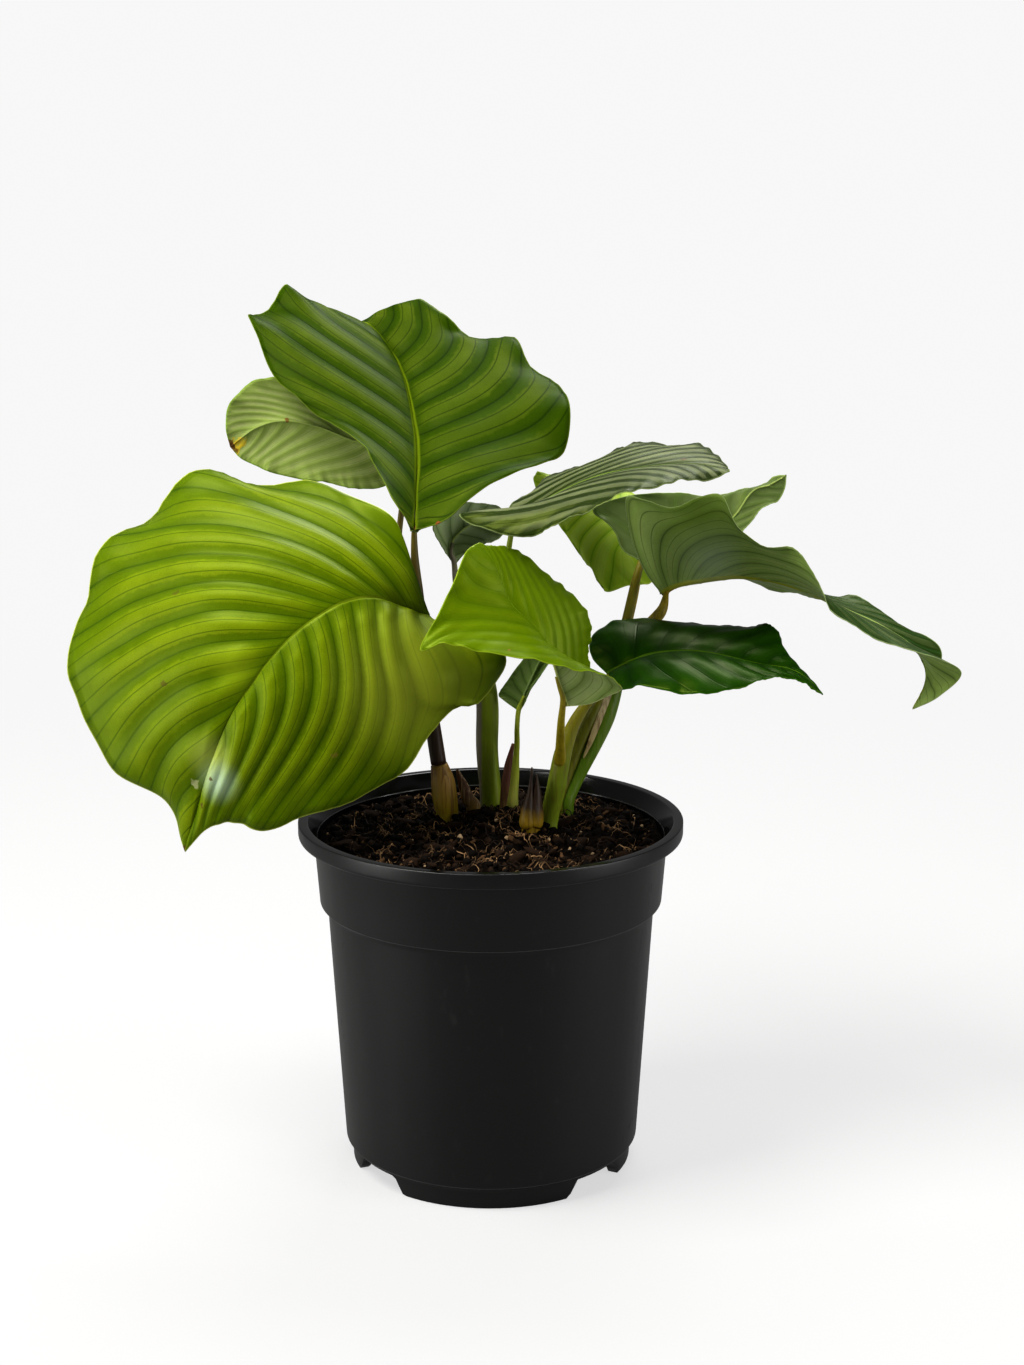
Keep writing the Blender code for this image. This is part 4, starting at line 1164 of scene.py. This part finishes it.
low_small = Leaf(
    midrib=[(14, 18, 225), (16, 17, 231), (19, 15, 239), (22, 13, 247), (28, 12, 260)],
    left=[(18, 14, 232), (21, 10, 241), (27, 10, 249), (30, 11, 255)],
    right=[(6, 22, 230), (4, 24, 233), (9, 22, 241), (14, 18, 249), (20, 14, 257)],
    dome=0.08, bow=0.15, ripple=0.3, ripples=3,
)
make_leaf(
    "leaf_low_small", "blade_low_small", low_small, bands=6, quilt=0.3, midrib_width=0.8,
    flutter=0.15,
    upper=dict(
        field=(0.06, 0.15, 0.02), band=(0.14, 0.22, 0.08), vein=(0.03, 0.09, 0.01),
        midrib=(0.20, 0.30, 0.10), rim=(0.18, 0.24, 0.08),
    ),
    under=dict(
        field=(0.1, 0.155, 0.04), band=(0.17, 0.23, 0.08), vein=(0.05, 0.08, 0.02),
        midrib=(0.20, 0.27, 0.10), rim=(0.15, 0.20, 0.08),
    ),
)

# The stalks
# Five stems stand in the soil, and each carries one to three leaves. The lower part is wrapped in the bases
# of its leaf stalks. Each stalk is round, finely ribbed along its length, and runs on into its leaf's midrib.

STALK_SIDES = 20
STALK_STEP = 2.2
BURIED = 24.0
STRAIGHT = 4.0
REACHES_IN = (5, 11)


def spaced_curve(points, step):
    """Points every step along a smooth curve, timed by the square root of the distance between its points."""
    points = np.asarray(points, float)
    points = np.vstack([2 * points[0] - points[1], points, 2 * points[-1] - points[-2]])
    gaps = np.sqrt(np.linalg.norm(np.diff(points, axis=0), axis=1))
    times = np.concatenate([[0], np.cumsum(gaps)])
    length = np.linalg.norm(np.diff(points[1:-1], axis=0), axis=1).sum()
    found = []
    for time in np.linspace(times[1], times[-2], max(6, round(length / step))):
        first = int(np.clip(np.searchsorted(times, time, side="right") - 2, 0, len(points) - 4))
        mixed = [points[first + place] for place in range(4)]
        for span in (1, 2):
            starts = times[first : first + len(mixed) - 1]
            ends = times[first + span : first + span + len(mixed) - 1]
            shares = (time - starts) / (ends - starts)
            mixed = [a + (b - a) * share for a, b, share in zip(mixed, mixed[1:], shares)]
        share = (time - times[first + 1]) / (times[first + 2] - times[first + 1])
        found.append(mixed[0] + (mixed[1] - mixed[0]) * share)
    return np.array(found)


def buried(path):
    """A path that rises straight out of the soil, and then follows the given one."""
    x, y, _ = path[0]
    heights = (-BURIED, -BURIED / 2, 0, STRAIGHT)
    return [*((x, y, soil_height(x, y) + height) for height in heights), *path[1:]]


def spread_radii(radii, count):
    """Radii read smoothly from a short list, one for each point of a path."""
    return np.interp(np.linspace(0, len(radii) - 1, count), np.arange(len(radii)), radii)


def make_stalks(name, node, skins, branches):
    """A stem from its branches, which are (leaf, in the soil or not, radii, path), and a skin for each."""
    lines = []
    for leaf, in_soil, radii, path in branches:
        seat, up, length = leaf.seat()
        inside = curve_at(leaf.midrib, SEAT_SHARE + np.array(REACHES_IN) / length) - up * 0.5
        controls = [*(buried(path) if in_soil else path), seat, *inside]
        line = spaced_curve(controls, STALK_STEP)
        start = [radii[0]] * 3 if in_soil else []
        widths = spread_radii([*start, *radii, radii[-1] * 0.85, 1.2, 0.7], len(line))
        points_before = STALK_SIDES * sum(len(earlier) for earlier, _ in lines)
        swell = 1 + 0.05 * np.sin(np.arange(len(line)) * 0.21 + points_before)
        lines.append((line, widths * swell))
    piece = add_tubes(name, lines, STALK_SIDES, [stalk_material(*skin) for skin in skins])
    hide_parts(node)


stalk_skin, given, result = new_group(
    "Stalk skin",
    {"Low": "Color", "High": "Color", "Stripe": "Color", "Place": "Float", "Stripes": "Float"},
    {"Color": "Color", "Height": "Float"},
)
ribs = mottle(stalk_skin, 700, 3, stretch=(1, 1, 0.03))
blotches = mottle(stalk_skin, 120, 5, stretch=(1, 1, 0.35))
ragged = given["Place"] + (blotches - 0.5)
skin = over(smooth_step(ragged, 0.0, 1.0), given["Low"], given["High"])
skin = over(smooth_step(ribs, 0.48, 0.66) * given["Stripes"], skin, given["Stripe"])
set_inputs(result, color=shaded(skin, blotches * 0.7 + 0.65), height=ribs + blotches * 0.3)


def stalk_material(name, low, high, stripe, start, end, stripes, axis=2, roughness=0.42):
    """A stalk's skin, which changes from a low to a high colour between two places in mm along an axis."""
    material, tree, shader = new_material(
        name, roughness=roughness, specular_ior_level=0.25,
        subsurface_weight=0.06, subsurface_radius=(0.8, 1.0, 0.3), subsurface_scale=1.5 * MM,
    )
    place = wire(tree, "SeparateXYZ", axis, {0: wire(tree, "TexCoord", "Object")})
    limits = {"Value": place, "From Min": start * MM, "From Max": end * MM}
    place = wire(tree, "MapRange", 0, limits, clamp=False)
    inputs = {"Low": low, "High": high, "Stripe": stripe, "Place": place, "Stripes": stripes}
    colour, relief = effect(tree, stalk_skin, inputs)
    set_inputs(shader, base_color=colour)
    bump(shader, relief, 0.5, 0.0005)
    return material


# The left stem
# Dark brown, nearly black, and turning olive under the top leaf. It carries the large front leaf, the top
# leaf and the one behind them.

make_stalks(
    "stem_left", "stalk_left",
    [("Dark stalk", (0.040, 0.022, 0.012), (0.150, 0.115, 0.020), (0.10, 0.065, 0.03), 262, 304, 0.35)],
    [
        (top, False, (3.9, 3.6, 3.1, 2.5, 2.3), [
            (-26, 12, 200), (-28, 12, 214), (-31, 11, 238), (-33, 11, 263), (-35, 12, 285), (-37, 15, 303),
        ]),
        (front_large, False, (2.6, 2.2, 2.0), [(-29, 11, 226), (-28, 4, 248), (-28, -1, 264)]),
        (back_left, False, (2.4, 2.1, 2.0, 1.8), [
            (-28, 12, 213), (-34, 34, 227), (-44, 60, 263), (-48, 76, 299), (-46, 79, 328),
        ]),
    ],
)

# The centre stem
# Green, wrapped on its left in a greyish-purple sheath. It carries the curled leaf and the silver-striped
# one.

PURPLE_GREEN = ((0.170, 0.150, 0.110), (0.160, 0.215, 0.006), (0.20, 0.21, 0.04))
make_stalks(
    "stem_centre", "stalk_centre",
    [("Purple and green stalk", *PURPLE_GREEN, -5.4, -3.9, 0.45, 0)],
    [
        (centre_curled, True, (5.8, 5.7, 5.2, 3.2, 2.0), [
            (0, 27, 172), (-2, 26, 203), (-2, 26, 229), (-6, 27, 254), (-13, 27, 274), (-17, 28, 287),
        ]),
        (right_upper, False, (3.0, 2.3, 2.0), [(-2, 25, 222), (1, 21, 254), (4, 16, 282), (8, 10, 303)]),
    ],
)

# The thin green stem
# The small low leaf's own stalk, swollen at its base.

make_stalks(
    "stem_low", "stalk_low",
    [("Thin green stalk", (0.34, 0.35, 0.07), (0.29, 0.34, 0.03), (0.12, 0.15, 0.01), 178, 200, 0.5)],
    [(low_small, True, (3.6, 2.6, 1.6, 1.4), [(10, 26, 172), (12, 24, 193), (13, 21, 208), (13, 17, 217)])],
)

# The front stem
# Light green, thick, with a brown dried edge where its two leaf stalks part. It carries the small front leaf
# and the dark one at the right.

LIGHT_GREEN = ((0.155, 0.205, 0.012), (0.185, 0.170, 0.008), (0.11, 0.085, 0.010))
AMBER = ((0.22, 0.17, 0.008), (0.24, 0.20, 0.010), (0.13, 0.10, 0.010))
make_stalks(
    "stem_front", "stalk_front",
    [
        ("Light green stalk", *LIGHT_GREEN, 190, 228, 0.45),
        ("Amber stalk", *AMBER, 190, 228, 0.45),
    ],
    [
        (right_dark, True, (4.6, 5.0, 4.5, 3.2, 2.4), [
            (29, 0, 173), (32, -2, 190), (36, -3, 211), (42, -2, 226), (50, 0, 237),
        ]),
        (centre_small, False, (3.0, 2.2, 1.9), [(34, -4, 204), (34, -16, 220), (34, -26, 231)]),
    ],
)

# The right stem
# The widest one, green with pale brown streaks. Two of its leaf stalks rise side by side from the soil, and
# that of the bright leaf at the back parts from them halfway up.

DEEP_GREEN = ((0.085, 0.155, 0.003), (0.210, 0.175, 0.010), (0.17, 0.20, 0.03))
OLIVE = ((0.115, 0.120, 0.004), (0.230, 0.175, 0.010), (0.060, 0.050, 0.006))
make_stalks(
    "stem_right", "stalk_right",
    [
        ("Deep green stalk", *DEEP_GREEN, 225, 268, 0.4),
        ("Olive stalk", *OLIVE, 215, 262, 0.5),
    ],
    [
        (right_back, True, (3.8, 4.5, 4.8, 4.8, 4.2, 3.2, 2.6, 2.4), [
            (38, 25, 172), (43, 29, 188), (50.5, 32, 203), (57.5, 35, 218), (62.5, 39, 234), (66.5, 48, 255),
            (71, 54, 274), (74, 57, 286),
        ]),
        (right_long, True, (3.0, 3.0, 3.0, 3.1, 3.2, 3.4, 3.4, 3.4), [
            (33.5, 23, 172), (37.5, 26, 188), (43.5, 29, 203), (50, 32, 218), (57.5, 37, 232), (67, 42, 246),
            (78, 42, 262), (86, 41, 272),
        ]),
        (back_bright, False, (2.6, 2.2, 1.8), [
            (56, 37, 222), (66, 60, 243), (72, 84, 258), (76, 99, 270), (78, 106, 281),
        ]),
    ],
)

# The right stem's papery streak
# What is left of a dried sheath, pale brown and split, lying in the groove between the two stalks in front.

streak_path = [(46.5, 25.5, 199), (50, 27.5, 207), (54, 30, 217), (58.5, 33, 228), (62, 35.5, 238)]
streak_line = spaced_curve(streak_path, 2.0)
streak_radii = spread_radii((0.4, 1.4, 1.8, 1.8, 1.2), len(streak_line))
PAPERY = ((0.34, 0.27, 0.12), (0.46, 0.38, 0.22), (0.16, 0.10, 0.04))
papery = stalk_material("Papery streak", *PAPERY, 205, 230, 0.8, roughness=0.6)
streak_piece = add_tubes("sheath_streak", [(streak_line, streak_radii)], 12, [papery], flat=0.55)

# Bulb, sheaths, bract and bud
# What stands at the feet of the stems: the left stem's pale swollen base, a dry torn sheath beside it, a thin
# reddish bract, and a dark pointed bud whose scales overlap.

SHOOT_SIDES = 24
SHOOT_STEP = 1.5


def make_shoot(name, node, skin, shoots, roughness, flat=1.0):
    """Tapering shoots that stand in the soil as one piece, each from its radii and its path."""
    lines = []
    for radii, path in shoots:
        line = spaced_curve(buried(path), SHOOT_STEP)
        lines.append((line, spread_radii([*[radii[0]] * 3, *radii], len(line))))
    piece = add_tubes(name, lines, SHOOT_SIDES, [stalk_material(*skin, roughness=roughness)], flat)
    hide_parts(node)


make_shoot(
    "bulb_base", "bulb_left",
    ("Pale bulb", (0.27, 0.20, 0.005), (0.30, 0.18, 0.045), (0.11, 0.05, 0.012), 174, 196, 0.7),
    [((5.6, 6.3, 6.0, 4.2), [(-22, 12, 172), (-23, 12, 182), (-24, 12, 191), (-25.8, 12, 199.4)])],
    roughness=0.5,
)
make_shoot(
    "sheath_dry", "sheath_left",
    ("Dry sheath", (0.20, 0.13, 0.018), (0.085, 0.040, 0.020), (0.38, 0.28, 0.16), 172, 184, 0.9),
    [((3.5, 3.4, 2.4, 0.6), [(-9, 15, 171), (-11, 15, 180), (-14, 15, 188), (-17, 15, 196)])], flat=0.6,
    roughness=0.6,
)
make_shoot(
    "bract_red", "bract_centre",
    ("Reddish bract", (0.17, 0.10, 0.03), (0.115, 0.045, 0.026), (0.05, 0.018, 0.010), 176, 192, 0.7),
    [((1.8, 2.2, 1.9, 0.7), [(6, 17, 175), (7, 16.5, 186), (8.5, 16.5, 197), (11, 16, 209)])],
    roughness=0.55,
)
make_shoot(
    "bud_dark", "bud",
    ("Bud scales", (0.24, 0.155, 0.008), (0.020, 0.009, 0.003), (0.050, 0.022, 0.006), 176, 186, 0.5),
    [
        ((4.4, 5.4, 5.0, 3.2, 1.7, 0.4), [
            (20, -10, 170), (20.5, -10, 176), (21, -10, 183), (22, -10, 189), (22.4, -10, 195),
            (22.5, -10, 200),
        ]),
        ((3.4, 4.0, 3.0, 1.5, 0.8, 0.4), [
            (18.5, -12, 170), (18, -12.5, 176), (18.2, -12.5, 184), (19.2, -12, 191), (19.8, -11.5, 198),
            (20.2, -11, 204),
        ]),
    ],
    roughness=0.5,
)

# Floor, light and camera
# A pale floor that fades into the background, four large soft lights, and the photograph's viewpoint.

BACKDROP = (0.785, 0.783, 0.785)
WORLD_TINT = (0.96, 0.97, 0.95)
WORLD_STRENGTH = 0.20
FLOOR_RADIUS = 2.6
FLOOR_SHARE = 0.32
LENS = 58.18
CAMERA_PLACE = (0.0105, -1.050, 0.4805)
CAMERA_DIP = 12.7

world = bpy.data.worlds.new("Studio")
bpy.context.scene.world = world
world.use_nodes = True
tree = world.node_tree
background = tree.nodes["Background"]
set_inputs(background, color=WORLD_TINT, strength=WORLD_STRENGTH)
seen = wire(tree, "Background", 0, {"Color": BACKDROP, "Strength": 1.0})
to_camera = wire(tree, "LightPath", "Is Camera Ray")
chosen = wire(tree, "MixShader", 0, {0: to_camera, 1: Wire(tree, background.outputs[0]), 2: seen})
set_inputs(tree.nodes["World Output"], surface=chosen)

pale_floor, tree, shader = new_material("Pale floor", roughness=0.7, base_color=(0.56, 0.56, 0.56))
away = wire(tree, "VectorMath", "Value", {0: wire(tree, "TexCoord", "Object")}, operation="LENGTH")
set_inputs(shader, alpha=smooth_step(away, 1.5, 0.35) * FLOOR_SHARE)
disc = bmesh.new()
bmesh.ops.create_circle(disc, cap_ends=True, segments=96, radius=FLOOR_RADIUS)
floor_mesh = bpy.data.meshes.new("floor")
disc.to_mesh(floor_mesh)
disc.free()
floor_mesh.materials.append(pale_floor)
floor = add_object("floor", floor_mesh)


def add_softbox(name, place, target, size, power, tint):
    """A large light that faces a point, with its width and height. Places are in metres."""
    light = bpy.data.lights.new(name, "AREA")
    light.shape = "RECTANGLE"
    light.size, light.size_y = size
    light.energy = power
    light.color = tint
    lamp = add_object(name, light)
    lamp.location = place
    lamp.rotation_euler = (Vector(target) - Vector(place)).to_track_quat("-Z", "Y").to_euler()


add_softbox("key", (-0.9, -0.4, 1.9), (0, 0, 0.25), (0.9, 0.9), 50, (1.0, 0.985, 0.96))
add_softbox("left", (-1.55, -0.65, 0.35), (0, 0, 0.2), (0.8, 1.0), 17, (1.0, 0.99, 0.98))
add_softbox("right", (1.6, -0.60, 0.60), (0, 0, 0.4), (0.8, 1.3), 18, (1.0, 1.0, 1.0))
add_softbox("back", (0.4, 1.35, 2.2), (0, 0, 0.25), (1.2, 1.2), 34, (1.0, 1.0, 1.0))

camera_data = bpy.data.cameras.new("camera")
camera_data.lens = LENS
camera_data.clip_end = 50
camera = add_object("camera", camera_data)
camera.location = CAMERA_PLACE
camera.rotation_euler = (math.radians(90 - CAMERA_DIP), 0, 0)
bpy.context.scene.camera = camera
bpy.context.scene.view_settings.view_transform = "Standard"
bpy.context.scene.view_settings.look = "Medium High Contrast"
